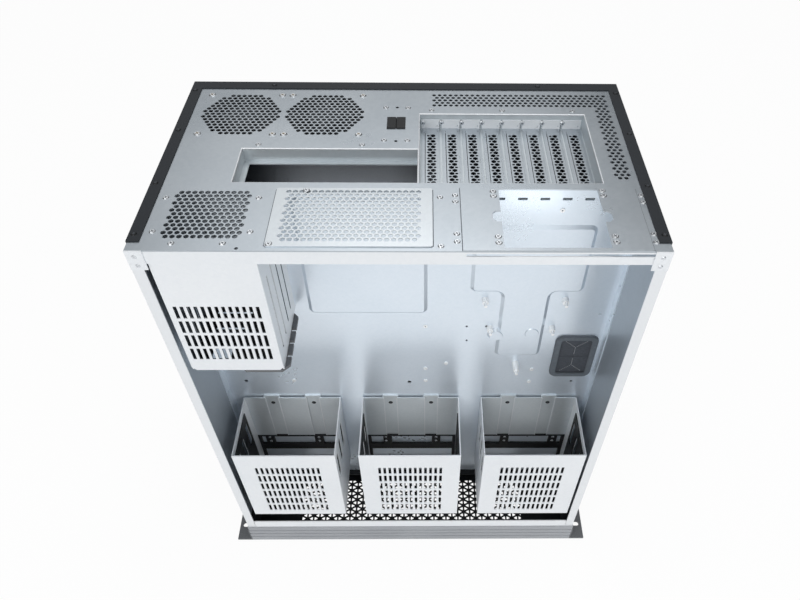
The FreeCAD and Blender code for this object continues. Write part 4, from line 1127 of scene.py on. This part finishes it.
# %% White room
scene = bpy.context.scene
scene.view_settings.view_transform = "Standard"
room = bpy.data.worlds.new("white_room")
room.use_nodes = True
tree = room.node_tree
tree.nodes.clear()
path = add_node(tree, "ShaderNodeLightPath")
way = add_node(tree, "ShaderNodeSeparateXYZ", {"Vector": add_node(tree, "ShaderNodeTexCoord").outputs["Generated"]})
# The softbox grows with height, fades to both sides of its middle and settles straight above.
lift = remap(tree, way.outputs["Z"], 0.4, 0.7, 0.25, 1.7)
aside = compute(tree, "ABSOLUTE", compute(tree, "ADD", way.outputs["X"], 0.08))
fade = remap(tree, aside, 0.2, 0.42, 1.0, 0.1, interpolation_type="SMOOTHSTEP")
settle = remap(tree, way.outputs["Z"], 0.7, 0.9, 1.0, 0.5)
softbox = compute(tree, "MULTIPLY", compute(tree, "MULTIPLY", lift, fade), settle)
soft, mirrored, white = (
    add_node(tree, "ShaderNodeBackground", {"Color": [1, 1, 1, 1], "Strength": strength})
    for strength in (0.45, softbox, 1.0)
)
mix = add_node(
    tree,
    "ShaderNodeMixShader",
    {0: path.outputs["Is Glossy Ray"], 1: soft.outputs["Background"], 2: mirrored.outputs["Background"]},
)
mix = add_node(
    tree,
    "ShaderNodeMixShader",
    {0: path.outputs["Is Camera Ray"], 1: mix.outputs["Shader"], 2: white.outputs["Background"]},
)
add_node(tree, "ShaderNodeOutputWorld", {"Surface": mix.outputs["Shader"]})
scene.world = room
print("room and floor are white to the camera")

# %% Lamps
def lamp(name, place, aim, size, power, spread=math.pi):
    light = bpy.data.lights.new(name, "AREA")
    light.shape = "SQUARE"
    light.size = size
    light.energy = power
    light.spread = spread
    thing = bpy.data.objects.new(name, light)
    scene.collection.objects.link(thing)
    thing.location = place
    thing.rotation_euler = (Vector(aim) - Vector(place)).to_track_quat("-Z", "Y").to_euler()


lamp("key_lamp", (-1.3, -1.9, 2.1), (0, 0, 0.3), 1.8, 26)
lamp("fill_lamp", (1.7, -1.5, 1.3), (0, 0, 0.3), 1.8, 14)
lamp("top_lamp", (0.2, 0.7, 2.4), (0, 0, 0.5), 1.6, 12)
lamp("front_lamp", (0.0, -2.2, 0.9), (0, 0, 0.3), 1.8, 6)
lamp("bay_lamp", (-0.07, 0.0, 0.34), (-0.07, 0.13, 0.34), 0.16, 0.3, 0.9)
lamp("supply_lamp", (0.127, -0.12, 0.485), (0.127, -0.04, 0.495), 0.07, 0.006, 2.0)
print("lamps:", len(bpy.data.lights))

# %% [markdown]
# ## Camera
# The case is seen from above its open side, close enough for its walls to run together downwards. The lens comes from
# a focal length in pixels, and the shift puts the point that the lens looks at beside the middle of the picture.

# %% Camera
FOCAL_PIXELS = 672.3
IMAGE_WIDTH, IMAGE_HEIGHT = 800, 600
CENTRE_PIXEL = (436.2, 356.8)
SENSOR_MM = 36.0
camera_data = bpy.data.cameras.new("photo_camera")
camera_data.sensor_width = SENSOR_MM
camera_data.lens = FOCAL_PIXELS / IMAGE_WIDTH * SENSOR_MM
camera_data.shift_x = (IMAGE_WIDTH / 2 - CENTRE_PIXEL[0]) / IMAGE_WIDTH
camera_data.shift_y = (CENTRE_PIXEL[1] - IMAGE_HEIGHT / 2) / IMAGE_WIDTH
camera_data.clip_start = 0.01
camera = bpy.data.objects.new("photo_camera", camera_data)
scene.collection.objects.link(camera)
forward = Vector((0.015, 0.6407, -0.7676)).normalized()
right_way = Vector((0.9999, -0.0096, 0.0115))
right_way = (right_way - forward * right_way.dot(forward)).normalized()
up_way = right_way.cross(forward)
turned = Matrix((right_way, up_way, -forward)).transposed().to_4x4()
camera.matrix_world = Matrix.Translation((0.0206, -0.5407, 0.8876)) @ turned
scene.camera = camera
print("camera lens:", round(camera_data.lens, 1), "mm")
